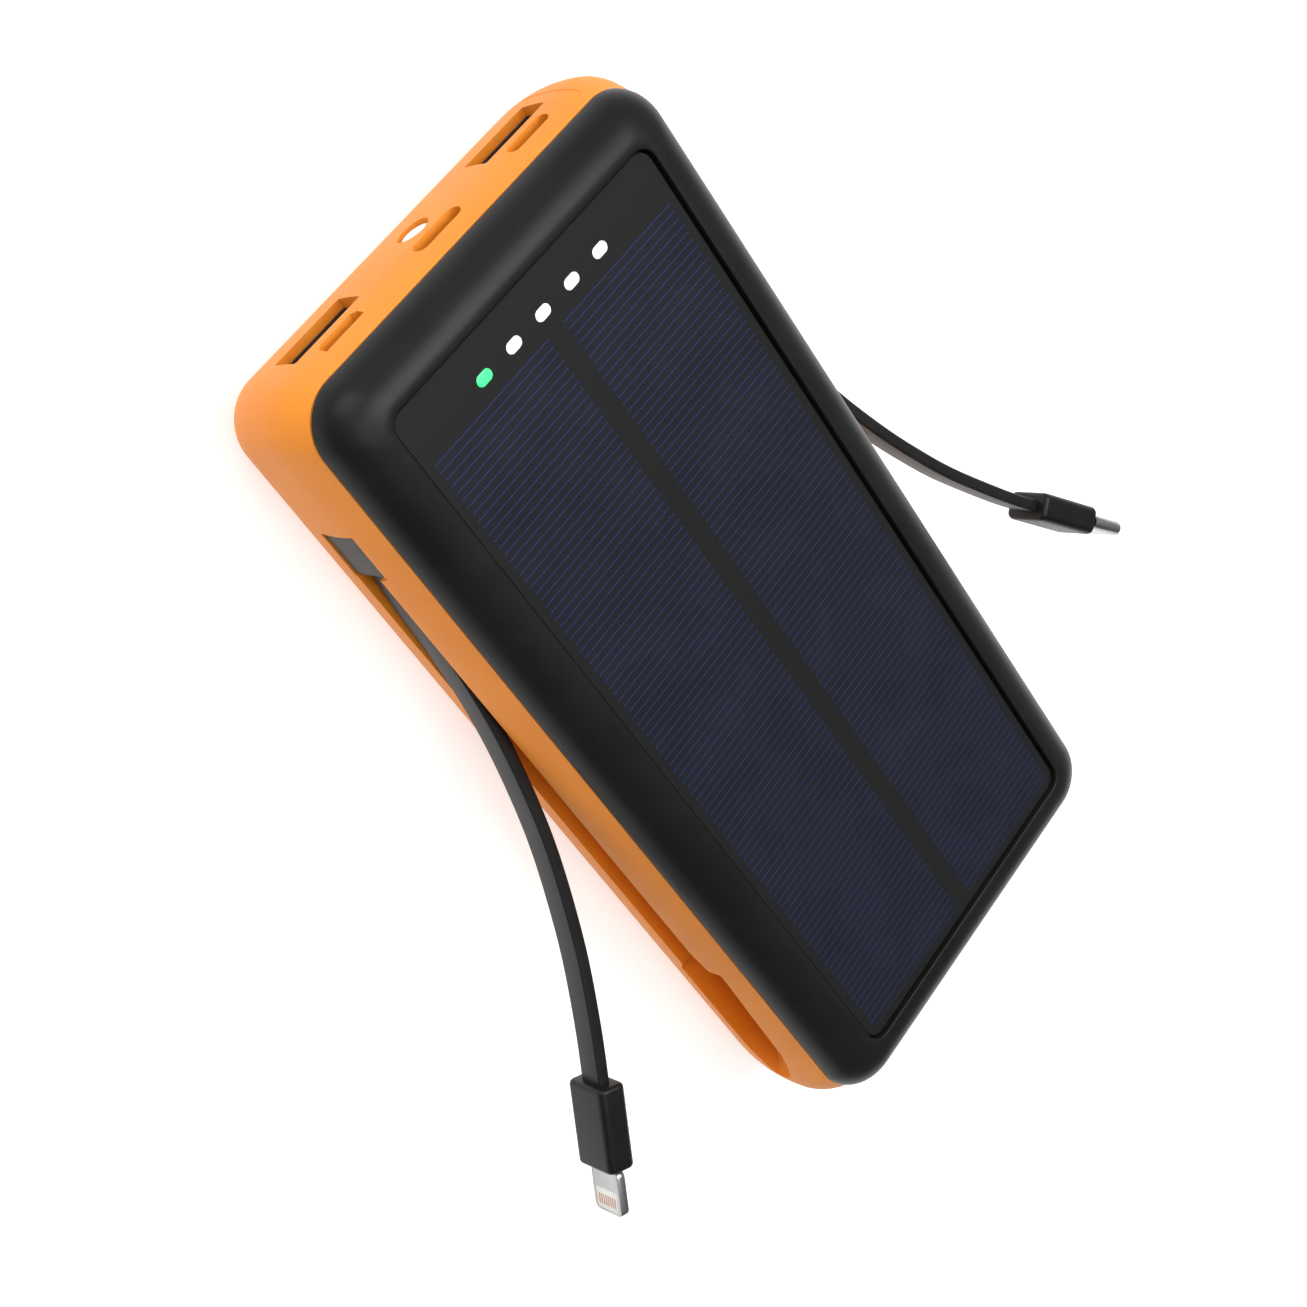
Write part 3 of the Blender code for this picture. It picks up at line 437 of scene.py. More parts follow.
def tub_outside():
    """Below the widest level the bulge follows the sine of an angle and the height one less its
    cosine; above it, the lean falls with the square of the lift. The last rings round the rim."""
    angle = np.radians(np.linspace(0.0, 90.0, 26))
    low_share = np.sin(angle)
    lift = np.linspace(0.0, 1.0, 10)[1:]
    high_share = 1 - lift ** 2
    half_x = np.concatenate([HALF_WIDTH - UNDERCUT_SIDE * (1 - low_share), SEAM_X + LEAN * high_share])
    half_y = np.concatenate([HALF_LENGTH - UNDERCUT_END * (1 - low_share), SEAM_Y + LEAN * high_share])
    corner = np.concatenate([BACK_CORNER + (WIDEST_CORNER - BACK_CORNER) * low_share,
                             SEAM_CORNER + (WIDEST_CORNER - SEAM_CORNER) * high_share])
    top = SEAM_Z - GAP / 2
    height = np.concatenate([WIDEST_Z * (1 - np.cos(angle)), WIDEST_Z + (top - SEAM_EDGE - WIDEST_Z) * lift])
    turn = np.radians([30.0, 60.0, 90.0])
    inset = SEAM_EDGE * (1 - np.cos(turn))
    half_x = np.append(half_x, SEAM_X - inset)
    half_y = np.append(half_y, SEAM_Y - inset)
    corner = np.append(corner, SEAM_CORNER - inset)
    height = np.append(height, top - SEAM_EDGE * (1 - np.sin(turn)))
    return rounded_rings(half_x, half_y, corner, height, longest=TUB_CELL)


tub = skin("tub", tub_outside())
print("tub faces before cutting:", len(tub.data.polygons))

# %% The hollow inside
FLOOR = 0.0020
END_WALL = 0.0022
INNER_END_Y = HALF_LENGTH - END_WALL
CHANNEL_WALL_X = 0.0308
BAY_BACK_Y, BAY_FRONT_Y, BAY_X = 0.0562, INNER_END_Y - 0.0002, 0.0350


def hollow(name, levels, centre_y=0.0):
    """A cutter through rounded rectangles given as (half x, half y, corner, height)."""
    half_x, half_y, corner, height = np.array(levels).T
    rings = rounded_rings(half_x, half_y, corner, height, steps=7)
    rings[:, :, 1] += centre_y
    return skin(name, rings)


bay_middle, bay_half = (BAY_BACK_Y + BAY_FRONT_Y) / 2, (BAY_FRONT_Y - BAY_BACK_Y) / 2
channel_levels = [(CHANNEL_WALL_X, half_y, 0.0030, height) for half_y, height in (
    (0.0726, 0.0050), (0.0738, 0.0085), (INNER_END_Y, 0.0110), (INNER_END_Y, 0.0231))]
combine(tub, "DIFFERENCE", [
    hollow("upper_hollow", [(0.0335, 0.0723, 0.0050, 0.0229), (0.0335, 0.0723, 0.0050, 0.0276)]),
    hollow("lower_hollow", [(0.0290, 0.0708, 0.0030, FLOOR), *channel_levels]),
    hollow("socket_hollow", [(BAY_X, bay_half, 0.0050, 0.0085), (BAY_X, bay_half, 0.0050, 0.0236)], bay_middle),
])
print("tub faces with its hollow:", len(tub.data.polygons))

# %% Grooves and pockets down both sides
ANCHOR_Y, ANCHOR_Z = (0.0465, 0.0547), (0.0113, 0.0198)
GROOVE_Z = (0.0118, 0.0182)
GROOVE_FLOOR_X, POCKET_FLOOR_X = 0.0342, 0.0325
POCKET_END_Y = -0.0704
POCKET_STATIONS = [(-0.0360, 0.0118, 0.0182), (-0.0405, 0.0118, 0.0191), (-0.0411, 0.0118, 0.0210),
                   (-0.0416, 0.0116, 0.0212), (-0.0432, 0.0100, 0.0212), (-0.0530, 0.0100, 0.0206),
                   (-0.0630, 0.0100, 0.0200)]
SCOOP_RISE = 0.0062
SCOOP_MIDDLE_Z, SCOOP_DOWN, SCOOP_UP = 0.0148, 0.0048, 0.0050
SCOOP_START = 0.35  # where on its ellipse the narrowing starts
SCOOP_REACH = 0.998  # it stops just short of the point where its walls would meet
ANCHOR_FLOOR_X = 0.0325
OUTSIDE_X = HALF_WIDTH + 0.0010
SIDES = (("left", -1), ("right", 1))


def pocket_profile():
    """Stations (y, low z, high z, floor x). Past the level ones the floor climbs on a circular
    arc and the two walls close in on an ellipse, which leaves a round thumb scoop."""
    level = np.array([(y, low, high, POCKET_FLOOR_X) for y, low, high in POCKET_STATIONS])
    start = level[-1, 0]
    length = start - POCKET_END_Y
    radius = length ** 2 / (2 * SCOOP_RISE) + SCOOP_RISE / 2
    share = np.sin(quarter(17)[1:]) * SCOOP_REACH
    squeeze = np.sqrt((1 - (SCOOP_START + (1 - SCOOP_START) * share) ** 2) / (1 - SCOOP_START ** 2))
    climb = radius - np.sqrt(radius ** 2 - (share * length) ** 2)
    scoop = np.stack([start - share * length, SCOOP_MIDDLE_Z - SCOOP_DOWN * squeeze,
                      SCOOP_MIDDLE_Z + SCOOP_UP * squeeze, POCKET_FLOOR_X + climb], axis=1)
    return np.concatenate([level, scoop])[::-1]


def pocket_cutter(name, side):
    """Four-cornered sections carried along Y through the pocket's stations."""
    y, low, high, floor = pocket_profile().T
    out = np.full_like(y, OUTSIDE_X)
    corners = [(floor, low), (out, low), (out, high), (floor, high)]
    rings = np.stack([np.stack([side * x, y, z], axis=1) for x, z in corners], axis=1)
    return skin(name, rings if side < 0 else rings[:, ::-1])


def side_block(name, side, near, y_range, z_range):
    low_x, high_x = sorted((side * near, side * OUTSIDE_X))
    return block(name, (low_x, y_range[0], z_range[0]), (high_x, y_range[1], z_range[1]))


for word, side in SIDES:
    combine(tub, "DIFFERENCE", [
        side_block(f"anchor_pocket_{word}", side, ANCHOR_FLOOR_X, ANCHOR_Y, ANCHOR_Z),
        side_block(f"groove_{word}", side, GROOVE_FLOOR_X, (-0.0420, 0.0475), GROOVE_Z),
        pocket_cutter(f"pocket_{word}", side),
    ])
print("tub faces with grooves:", len(tub.data.polygons))

# %% Socket, torch and button openings
USB_A_X, USB_A_Z = (-0.0208, 0.0208), 0.0147
USB_A_RECESS = (0.0136, 0.0059)
UPPER_PORT_Z = 0.0205
MICRO_X, SMALL_X = -0.0208, 0.0206
TORCH_Z, TORCH_HOLE = 0.0147, 0.0027
BUTTON_Y, BUTTON_Z = 0.0640, 0.0208
BUTTON_SIZE = (0.0064, 0.0036)


def micro_outline(width, height):
    """A slot with a flat top whose two lower corners are cut off."""
    half, rise, slope = width / 2, height / 2, 0.36 * height
    return np.array([(-half + slope, -rise), (half - slope, -rise), (half, -rise + slope),
                     (half, rise), (-half, rise), (-half, -rise + slope)])


def facing_out(outline):
    """An outline given in (x, z), reordered for a skin that runs along Y."""
    return outline[::-1, ::-1]


def end_cutter(name, outline, x, z):
    """A straight cutter through the end wall."""
    return rod(name, [facing_out(outline)] * 2, [INNER_END_Y - 0.0010, HALF_LENGTH + 0.0010], "Y", (x, 0, z))


def rectangle(width, height, corner=0.0004):
    return corner_arcs(width / 2, height / 2, corner, 4)


button_slot = stadium(BUTTON_SIZE[0] + 2 * GAP, BUTTON_SIZE[1] + 2 * GAP)
combine(tub, "DIFFERENCE", [
    *[end_cutter("usb_a_cut", rectangle(*USB_A_RECESS), x, USB_A_Z) for x in USB_A_X],
    end_cutter("usb_c_cut", stadium(0.0095, 0.0028), 0.0, UPPER_PORT_Z),
    end_cutter("small_cut", stadium(0.0085, 0.0025), SMALL_X, UPPER_PORT_Z),
    end_cutter("micro_cut", micro_outline(0.0078, 0.0024), MICRO_X, UPPER_PORT_Z),
    end_cutter("torch_cut", circle(TORCH_HOLE), 0.0, TORCH_Z),
    rod("button_cut", [button_slot] * 2, [0.0330, OUTSIDE_X], "X", (0, BUTTON_Y, BUTTON_Z)),
])
print("tub faces with its openings:", len(tub.data.polygons))

# %% A fine crease on the end
CREASE_X, CREASE_LOW, CREASE_HIGH = 0.0302, 0.0092, 0.0222
CREASE_WIDTH = 0.00013
CREASE_HOOK = 0.0013


def end_surface(z):
    """The end's y at height z: the bulge's ellipse below the widest level, the lean above it."""
    angle = np.arccos(np.clip(1 - z / WIDEST_Z, 0.0, 1.0))
    lift = np.clip((z - WIDEST_Z) / (SEAM_Z - WIDEST_Z), 0.0, 1.0)
    return np.where(z < WIDEST_Z, HALF_LENGTH - UNDERCUT_END * (1 - np.sin(angle)),
                    SEAM_Y + LEAN * (1 - lift ** 2))


def crease_tube():
    """A thin tube that runs up the end wall and hooks round a small quarter circle at the top."""
    turn = quarter(8)[1:]
    x = np.concatenate([np.full(30, CREASE_X), CREASE_X - CREASE_HOOK * (1 - np.cos(turn))])
    z = np.concatenate([np.linspace(CREASE_LOW, CREASE_HIGH, 30), CREASE_HIGH + CREASE_HOOK * np.sin(turn)])
    path = np.stack([x, end_surface(z), z], axis=1)
    forward = unit(np.gradient(path, axis=0))
    side = unit(np.cross(forward, [0.0, 1.0, 0.0]))
    return skin("crease", swept(path, circle(CREASE_WIDTH, 8), side, np.cross(forward, side)))


combine(tub, "DIFFERENCE", [crease_tube()])
print("crease runs", round(1000 * (CREASE_HIGH - CREASE_LOW), 1), "mm up the end")

# %% Seal groove and screw seats
POSTS = [(-0.0240, -0.0675), (0.0240, -0.0675), (-0.0091, 0.0670), (0.0091, 0.0670)]
SEAL_LOW = SEAM_Z - 0.0014


def seam_band(name, near, far, low, high):
    """A closed four-sided band that follows the seam between two distances in from its edge."""
    inset = np.array([near, near, far, far])
    rings = rounded_rings(SEAM_X - inset, SEAM_Y - inset, SEAM_CORNER - inset, [low, high, high, low])
    return skin(name, rings, looped=True)


def drums(name, radius, low, high):
    """One upright cylinder for each screw post."""
    return [rod(f"{name}_{n}", [circle(radius, 40)] * 2, [low, high], "Z", (*post, 0))
            for n, post in enumerate(POSTS)]


combine(tub, "DIFFERENCE", [seam_band("seal_groove", 0.0010, 0.0022, SEAL_LOW, 0.0276)])
combine(tub, "UNION", drums("seat", 0.0029, FLOOR - 0.0010, 0.0036))
combine(tub, "DIFFERENCE", drums("head", 0.0025, -0.0010, 0.0019) + drums("hole", 0.0013, 0.0010, 0.0050))
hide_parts("rear_shell")
print("finished tub faces:", len(tub.data.polygons))

# %% [markdown]
# ## The black frame
# The frame is one section carried round the body: a circular shoulder up from the seam, a flat
# band, a small lip, the window's wall down to the ledge that holds the panel, and the hollow
# underneath. Its corners tighten from the wide seam corner to the crisp window corner.

# %% Carry the frame's section round
WINDOW_X, WINDOW_Y, WINDOW_CORNER = 0.0288, 0.0673, 0.0028
PANEL_TOP = 0.0310
PANEL_THICK = 0.0012
RIM_BAND = 0.0013
SHOULDER = (4.0, 80.0)  # degrees at the foot and the top of the shoulder's arc
LIP = 0.00022
SEAM_TURN = 0.00022  # the frame's lower edge turns in, which draws a dark line along the seam
FRAME_ROOF = 0.0280  # the ceiling of the hollow under the frame


def shoulder_section(steps=20):
    """Inset and height up a circular arc between two angles, then the turn into the flat band."""
    first, last = np.radians(SHOULDER)
    across = SEAM_X - WINDOW_X - RIM_BAND
    radius = across / (math.cos(first) - math.cos(last))
    angle = np.linspace(first, last, steps)
    lift = (BODY_HEIGHT - SEAM_Z - GAP / 2) / (radius * (math.sin(last) - math.sin(first)))
    inset = radius * (math.cos(first) - np.cos(angle))
    height = SEAM_Z + GAP / 2 + lift * radius * (np.sin(angle) - math.sin(first))
    return inset, height, across


inset, height, across = shoulder_section()
frame_foot = SEAM_Z + GAP / 2
ledge = PANEL_TOP - PANEL_THICK - GAP
turn = np.radians([0.0, 30.0, 60.0, 90.0])
lip_out = LIP * (1 - np.sin(turn))
corner_at = SEAM_CORNER + (WINDOW_CORNER + RIM_BAND - SEAM_CORNER) * inset / across
half_x = [SEAM_X - SEAM_TURN, *(SEAM_X - inset), *(WINDOW_X + lip_out), WINDOW_X,
          0.0250, 0.0250, 0.0334, 0.0334]
half_y = [SEAM_Y - SEAM_TURN, *(SEAM_Y - inset), *(WINDOW_Y + lip_out), WINDOW_Y,
          0.0635, 0.0635, 0.0719, 0.0719]
corners = [SEAM_CORNER, *corner_at, *(WINDOW_CORNER + lip_out), WINDOW_CORNER, 0.0030, 0.0030, 0.0045, 0.0045]
heights = [frame_foot, *np.maximum(height, frame_foot + 0.00012), *(BODY_HEIGHT - LIP * (1 - np.cos(turn))),
           ledge, ledge, FRAME_ROOF, FRAME_ROOF, frame_foot]
rim = skin("window_frame", rounded_rings(half_x, half_y, corners, heights, steps=18, longest=0.010),
           looped=True, sharp=28.0)
combine(rim, "UNION", drums("post", 0.0024, 0.0036 + GAP, 0.0288))
combine(rim, "DIFFERENCE", drums("bore", 0.0013, 0.0020, 0.0150))
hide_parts("front_shell")
print("frame faces:", len(rim.data.polygons))

# %% [markdown]
# ## The two large sockets
# Behind each big opening sits a bent steel box, its mouth 1.5 mm back from the wall, with a dark
# gap round it. Inside it is a black lining, painted shade that stands in for the dark depth of the
# socket, so the socket looks like a dark slot with a thin bright lip.

# %% Steel boxes and black linings of painted shade
USB_A_BOX = (0.0132, 0.0052)
BOX_WALL = 0.0003
BOX_DEPTH = 0.0142
BOX_SET_BACK = 0.0015
# the black lining inside each box paints the shade deep in the socket
SHADE_LINER_WALL = 0.00012


def cup(name, sizes, wall, front, depth, floor_thick, centre):
    """A rectangular cup open to +Y: outside from the back to the mouth, then inside back down."""
    outer = rectangle(*sizes, 0.0005)
    inner = rectangle(sizes[0] - 2 * wall, sizes[1] - 2 * wall, 0.0003)
    outlines = [facing_out(outline) for outline in (outer, outer, grown(outer, -wall / 3), inner, inner)]
    along = [front - depth, front - wall / 3, front, front, front - depth + floor_thick]
    return rod(name, outlines, along, "Y", centre)


socket_pieces = []
for word, x in zip(("left", "right"), USB_A_X):
    mouth = HALF_LENGTH - BOX_SET_BACK
    box = cup(f"usb_a_box_{word}", USB_A_BOX, BOX_WALL, mouth, BOX_DEPTH, BOX_WALL, (x, 0, USB_A_Z))
    # a black cup lining the steel box: painted shade for the dark inside of the socket
    shade_liner = cup(f"usb_a_shade_liner_{word}", (USB_A_BOX[0] - 0.00064, USB_A_BOX[1] - 0.00064), SHADE_LINER_WALL,
                  mouth - 0.0005, BOX_DEPTH - 0.0012, BOX_WALL, (x, 0, USB_A_Z))
    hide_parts(f"usb_a_socket_{word}")
    socket_pieces += [box, shade_liner]
print("socket pieces:", [piece.name for piece in socket_pieces])

# %% [markdown]
# ## The solar panel and the charge lights
# The panel is one sheet: two columns of dark cells under a clear skin, so the cells are part of
# its finish. Five small pills of clear plastic come through it and show the charge; the first
# one glows green.

# %% The sheet and its lights
INDICATOR_Y, INDICATOR_PITCH = 0.0611, 0.00655
PILL_LENGTH, PILL_WIDTH = 0.0029, 0.00175
PILL_FOOT, PILL_ROUND, PILL_CROWN = 0.0276, 0.0003, 0.0001
SHEET_EDGE = 0.00012

sheet_rings = rounded_rings([WINDOW_X - GAP - cut for cut in (0, 0, SHEET_EDGE)],
                            [WINDOW_Y - GAP - cut for cut in (0, 0, SHEET_EDGE)],
                            [WINDOW_CORNER - GAP] * 3,
                            [PANEL_TOP - PANEL_THICK, PANEL_TOP - SHEET_EDGE, PANEL_TOP], steps=10)
sheet = skin("solar_sheet", sheet_rings)
pill_x = [INDICATOR_PITCH * (number - 2) for number in range(5)]
pill_outline = stadium(PILL_LENGTH, PILL_WIDTH)
combine(sheet, "DIFFERENCE", [
    rod(f"pill_hole_{number}", [grown(pill_outline, 0.00008)] * 2, [0.0290, 0.0320], "Z", (x, INDICATOR_Y, 0))
    for number, x in enumerate(pill_x)])


def pill(name, x):
    """A pill whose top edge is rounded: the outline shrinks as the height follows a sine."""
    turn = quarter(6)
    outlines = [pill_outline] + [grown(pill_outline, -PILL_ROUND * (1 - math.cos(a))) for a in turn]
    level = [PILL_FOOT] + [PANEL_TOP - PILL_CROWN + PILL_CROWN * math.sin(a) for a in turn]
    return rod(name, outlines, level, "Z", (x, INDICATOR_Y, 0), sharp=50.0)


pills = [pill(f"charge_light_{number}", x) for number, x in enumerate(pill_x, 1)]
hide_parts("solar_panel_sheet", "solar_cell_left", "solar_cell_right")
for number, piece in enumerate(pills, 1):
    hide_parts(f"indicator_light_{number}")
print("charge lights at x in mm:", [round(1000 * x, 2) for x in pill_x])

# %% [markdown]
# ## Small moulded pieces
# A soft block holds the root of each cable, the torch has a clear lens, and a pill-shaped button
# sits in the side wall. Each is a short stack of rings with its rim rounded off.

# %% Anchors, lens and button
def cushion_block(name, low, high, edge):
    """A rounded block along X: its outline in (Y, Z) shrinks on a quarter circle at both faces."""
    (x0, y0, z0), (x1, y1, z1) = low, high
    outline = corner_arcs((y1 - y0) / 2, (z1 - z0) / 2, edge + 0.0003, 6)
    turn = quarter(5)
    shrink = edge * (1 - np.sin(turn))
    reach = edge * (1 - np.cos(turn))
    outlines = [grown(outline, -cut) for cut in (*shrink, *shrink[::-1])]
    along = [*(x0 + reach), *(x1 - reach[::-1])]
    return rod(name, outlines, along, "X", (0, (y0 + y1) / 2, (z0 + z1) / 2))


anchors = []
for word, side in SIDES:
    x0, x1 = sorted((side * (ANCHOR_FLOOR_X + GAP), side * (HALF_WIDTH - 0.0006)))
    anchor = cushion_block(f"anchor_block_{word}", (x0, ANCHOR_Y[0] + GAP / 10, ANCHOR_Z[0] + GAP),
                           (x1, ANCHOR_Y[1] - GAP, ANCHOR_Z[1] - GAP), 0.00025)
    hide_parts(f"cable_anchor_{word}")
    anchors.append(anchor)

lens_face = HALF_LENGTH - 0.0007
lens_radius = [0.0026, 0.0029, 0.0029, 0.0025, 0.0025, 0.0024, 0.0021, 0.0014, 0.0006]
lens_reach = [0.0732, 0.0732, 0.0740, 0.0740, lens_face - 0.0003, lens_face - 0.0001, lens_face,
              lens_face + 0.00008, lens_face + 0.00012]
lens = rod("torch_window", [circle(radius) for radius in lens_radius], lens_reach, "Y", (0, 0, TORCH_Z))
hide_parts("torch_lens")

button_face = HALF_WIDTH - 0.0008
cap_outline = stadium(*BUTTON_SIZE)
cap_turn = quarter(7)
cap_outlines = [grown(cap_outline, 0.0006)] * 2 + [cap_outline] + [
    grown(cap_outline, -0.0007 * (1 - math.cos(a))) for a in cap_turn]
cap_reach = [0.0334, 0.0347, 0.0347] + [button_face - 0.0004 + 0.0004 * math.sin(a) for a in cap_turn]
cap = rod("push_button", cap_outlines, cap_reach, "X", (0, BUTTON_Y, BUTTON_Z), sharp=40.0)
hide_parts("power_button")
print("button face at x =", round(1000 * button_face, 2), "mm")

# %% [markdown]
# ## A small language for finishes
# A Wire wraps a node's output and turns Python's own signs into Math nodes; Finish.add makes
# every other node. Colours are given as the everyday 0 to 255 numbers.

# %% Wires and finishes
def light(colour):
    """Everyday 0 to 255 colour numbers as linear light values with an alpha of one."""
    share = np.array(colour, float) / 255
    linear = np.where(share <= 0.04045, share / 12.92, ((share + 0.055) / 1.055) ** 2.4)
    return (*linear.tolist(), 1.0)


class Wire:
    """A socket that carries a number, so that an expression on it adds its Math nodes."""

    def __init__(self, finish, socket):
        self.finish, self.socket = finish, socket

    def math(self, operation, *values, clamp=False):
        settings = {"operation": operation, "use_clamp": clamp}
        return self.finish.add("Math", settings, dict(enumerate(values)))

    def __add__(self, other):
        return self.math("ADD", self, other)

    def __sub__(self, other):
        return self.math("SUBTRACT", self, other)

    def __rsub__(self, other):
        return self.math("SUBTRACT", other, self)

    def __mul__(self, other):
        return self.math("MULTIPLY", self, other)

    __radd__, __rmul__ = __add__, __mul__

    def step(self, low, high):
        """0 below low, 1 above high, straight between."""
        return self.math("MULTIPLY_ADD", self, 1 / (high - low), -low / (high - low), clamp=True)


class Finish:
    """A material under construction."""

    def __init__(self, name):
        self.material = bpy.data.materials.new(name)
        self.material.use_nodes = True
        self.tree = self.material.node_tree
        self.tree.nodes.clear()

    def add(self, kind, settings=None, values=None, out=0):
        """One node of a kind, its settings made first, then its sockets' values or links."""
        node = self.tree.nodes.new("ShaderNode" + kind)
        for key, value in (settings or {}).items():
            setattr(node, key, value)
        for key, value in (values or {}).items():
            if isinstance(value, Wire):
                self.tree.links.new(value.socket, node.inputs[key])
            else:
                node.inputs[key].default_value = value
        return Wire(self, node.outputs[out])

    def place(self):
        return self.add("TexCoord", out="Object")

    def axes(self):
        """The surface point's x, y and z, in metres."""
        split = self.add("SeparateXYZ", values={0: self.place()}).socket.node
        return [Wire(self, socket) for socket in split.outputs]

    def noise(self, size, detail=2.0, rough=0.5, stretch=(1.0, 1.0, 1.0)):
        """Cloudy noise whose blobs are about size metres across, from 0 to 1."""
        scale = tuple(share / size for share in stretch)
        where = self.add("Mapping", values={"Vector": self.place(), "Scale": scale})
        return self.add("TexNoise", values={"Vector": where, "Scale": 1.0, "Detail": detail,
                                            "Roughness": rough})

    def mix(self, share, first, second):
        """A colour between two: the first where the share is 0, the second where it is 1."""
        return self.add("Mix", {"data_type": "RGBA"}, {0: share, 6: first, 7: second}, out=2)

    def bump(self, height, depth):
        """A normal tilted by a height pattern that is depth metres deep."""
        return self.add("Bump", values={"Height": height, "Distance": depth, "Strength": 1.0})

    def shade(self, **values):
        """The Principled shader; a keyword's underscores stand for the socket's spaces."""
        named = {key.replace("_", " "): value for key, value in values.items()}
        surface = self.add("BsdfPrincipled", values=named)
        out = self.tree.nodes.new("ShaderNodeOutputMaterial")
        self.tree.links.new(surface.socket, out.inputs["Surface"])
        return self.material


def wear(it, size, low, high):
    """Soft patches of handling, 0 to 1."""
    return it.noise(size, 4.0, 0.6).step(low, high)


# %% [markdown]
# ## Moulded plastics
# The tub is a warm orange plastic with a fine spark-eroded grain, which scatters highlights; the
# frame is smoother and black. Grain goes into the bump at its real size, a fraction of a
# millimetre, and broad patches shift colour and gloss a little.

# %% Orange and black plastic
ORANGE, ORANGE_DEEP, ORANGE_SPECK = (228, 136, 30), (223, 130, 25), (255, 176, 96)


def orange_plastic():
    it = Finish("orange_grained_plastic")
    cloud = it.noise(0.018, 3.0)
    grain = it.noise(0.00022, 2.0, 0.7)
    speck = it.noise(0.00045, 2.0, 0.6).step(0.60, 0.72)
    tone = it.mix(cloud.step(0.35, 0.65), light(ORANGE), light(ORANGE_DEEP))
    tone = it.mix(speck * 0.16, tone, light(ORANGE_SPECK))
    rubbed = wear(it, 0.004, 0.62, 0.80)
    return it.shade(Base_Color=tone, Roughness=0.50 + 0.08 * grain - 0.07 * rubbed, Specular_IOR_Level=0.35,
                    Normal=it.bump(grain + 0.6 * speck, 0.000034))


def dark_plastic(name, tones, cloud, grain, rough, shine, depth, drawn=0.0, rubbed=0.0):
    """Nearly black plastic. Cloud is a size; grain is a size and a roughness; rough is the gloss and
    the grain's share in it. Drawn adds streaks along Y to the bump, and rubbed adds dull patches."""
    it = Finish(name)
    fine = it.noise(grain[0], 2.0, grain[1])
    tone = it.mix(it.noise(cloud, 3.0).step(0.35, 0.70), *map(light, tones))
    relief, gloss = fine, rough[0] + rough[1] * fine
    if drawn:
        relief = fine + drawn * it.noise(0.0006, 2.0, 0.5, stretch=(1.0, 0.08, 1.0))
    if rubbed:
        gloss = gloss + rubbed * wear(it, 0.003, 0.60, 0.78)
    return it.shade(Base_Color=tone, Roughness=gloss, Specular_IOR_Level=shine, Normal=it.bump(relief, depth))


finishes = {
    "orange_plastic": orange_plastic(),
    "black_plastic": dark_plastic("black_satin_plastic", ((21, 21, 21), (26, 26, 26)), 0.012, (0.00016, 0.6),
                                  (0.34, 0.05), 0.155, 0.000004, rubbed=0.05),
    "grip": dark_plastic("matt_grip_plastic", ((15, 15, 16), (20, 20, 21)), 0.005, (0.00018, 0.7),
                         (0.34, 0.08), 0.24, 0.00001),
    "cable_rubber": dark_plastic("cable_jacket", ((16, 16, 17), (22, 22, 23)), 0.006, (0.00020, 0.6),
                                 (0.36, 0.08), 0.30, 0.00001, drawn=0.6),
}
print("plastics ready:", sorted(finishes))

# %% [markdown]
# ## The panel's finish
# A cell is a dark blue-grey wafer crossed by fine printed lines, which look violet under the
# clear skin. Distances from the column edges and from the nearest line are worked out from the
# point's own x and y.

# %% Cells, lines and clear skin
CELL_IN_X, CELL_OUT_X = 0.00175, 0.0269
CELL_LOW_Y, CELL_HIGH_Y = -0.0653, 0.0581
LINE_PITCH = 0.00127
LINE_HALF = 0.00006
SOFT = 0.00006


def panel_laminate():
    it = Finish("panel_laminate")
    x, y, _ = it.axes()
    across = x.math("ABSOLUTE", x)

    def between(wire, low, high):
        return wire.step(low - SOFT, low + SOFT) * (1 - wire.step(high - SOFT, high + SOFT))

    cell = between(across, CELL_IN_X, CELL_OUT_X) * between(y, CELL_LOW_Y, CELL_HIGH_Y)
    near_line = y.math("PINGPONG", y - CELL_LOW_Y, LINE_PITCH / 2)
    line = (1 - near_line.step(LINE_HALF * 0.4, LINE_HALF * 1.6)) * cell
    cloud = it.noise(0.010, 4.0)
    wafer = it.mix(cloud.step(0.35, 0.65), light((23, 26, 32)), light((27, 30, 37)))
    tone = it.mix(cell, light((27, 27, 27)), wafer)
    tone = it.mix(line * 0.75, tone, light((50, 53, 112)))
    dust = wear(it, 0.0015, 0.70, 0.85)
    return it.shade(Base_Color=tone, Roughness=0.30 + 0.04 * cloud + 0.10 * dust, Specular_IOR_Level=0.18,
                    Normal=it.bump(cloud, 0.00001))


finishes["panel_laminate"] = panel_laminate()
print("lines per column:", int((CELL_HIGH_Y - CELL_LOW_Y) / LINE_PITCH))

# %% [markdown]
# ## Lights, metal and the parts inside
# The charge lights are clear caps over LEDs, so they glow. Sockets and plug tips are plated steel
# with drawing marks, and everything behind the walls has its own finish, because the cut-open
# model shows it.

# %% Lights
def glow(name, body, emitted, strength):
    it = Finish(name)
    cloud = it.noise(0.0008, 2.0)
    tone = it.mix(cloud.step(0.3, 0.7), light(body), light(tuple(min(255, c + 8) for c in body)))
    return it.shade(Base_Color=tone, Roughness=0.25 + 0.08 * cloud, Emission_Color=light(emitted),
                    Emission_Strength=strength, Normal=it.bump(cloud, 0.000004))


finishes["white_light"] = glow("white_charge_light", (240, 240, 238), (255, 255, 252), 0.5)
finishes["green_light"] = glow("green_charge_light", (60, 225, 120), (60, 245, 130), 0.7)


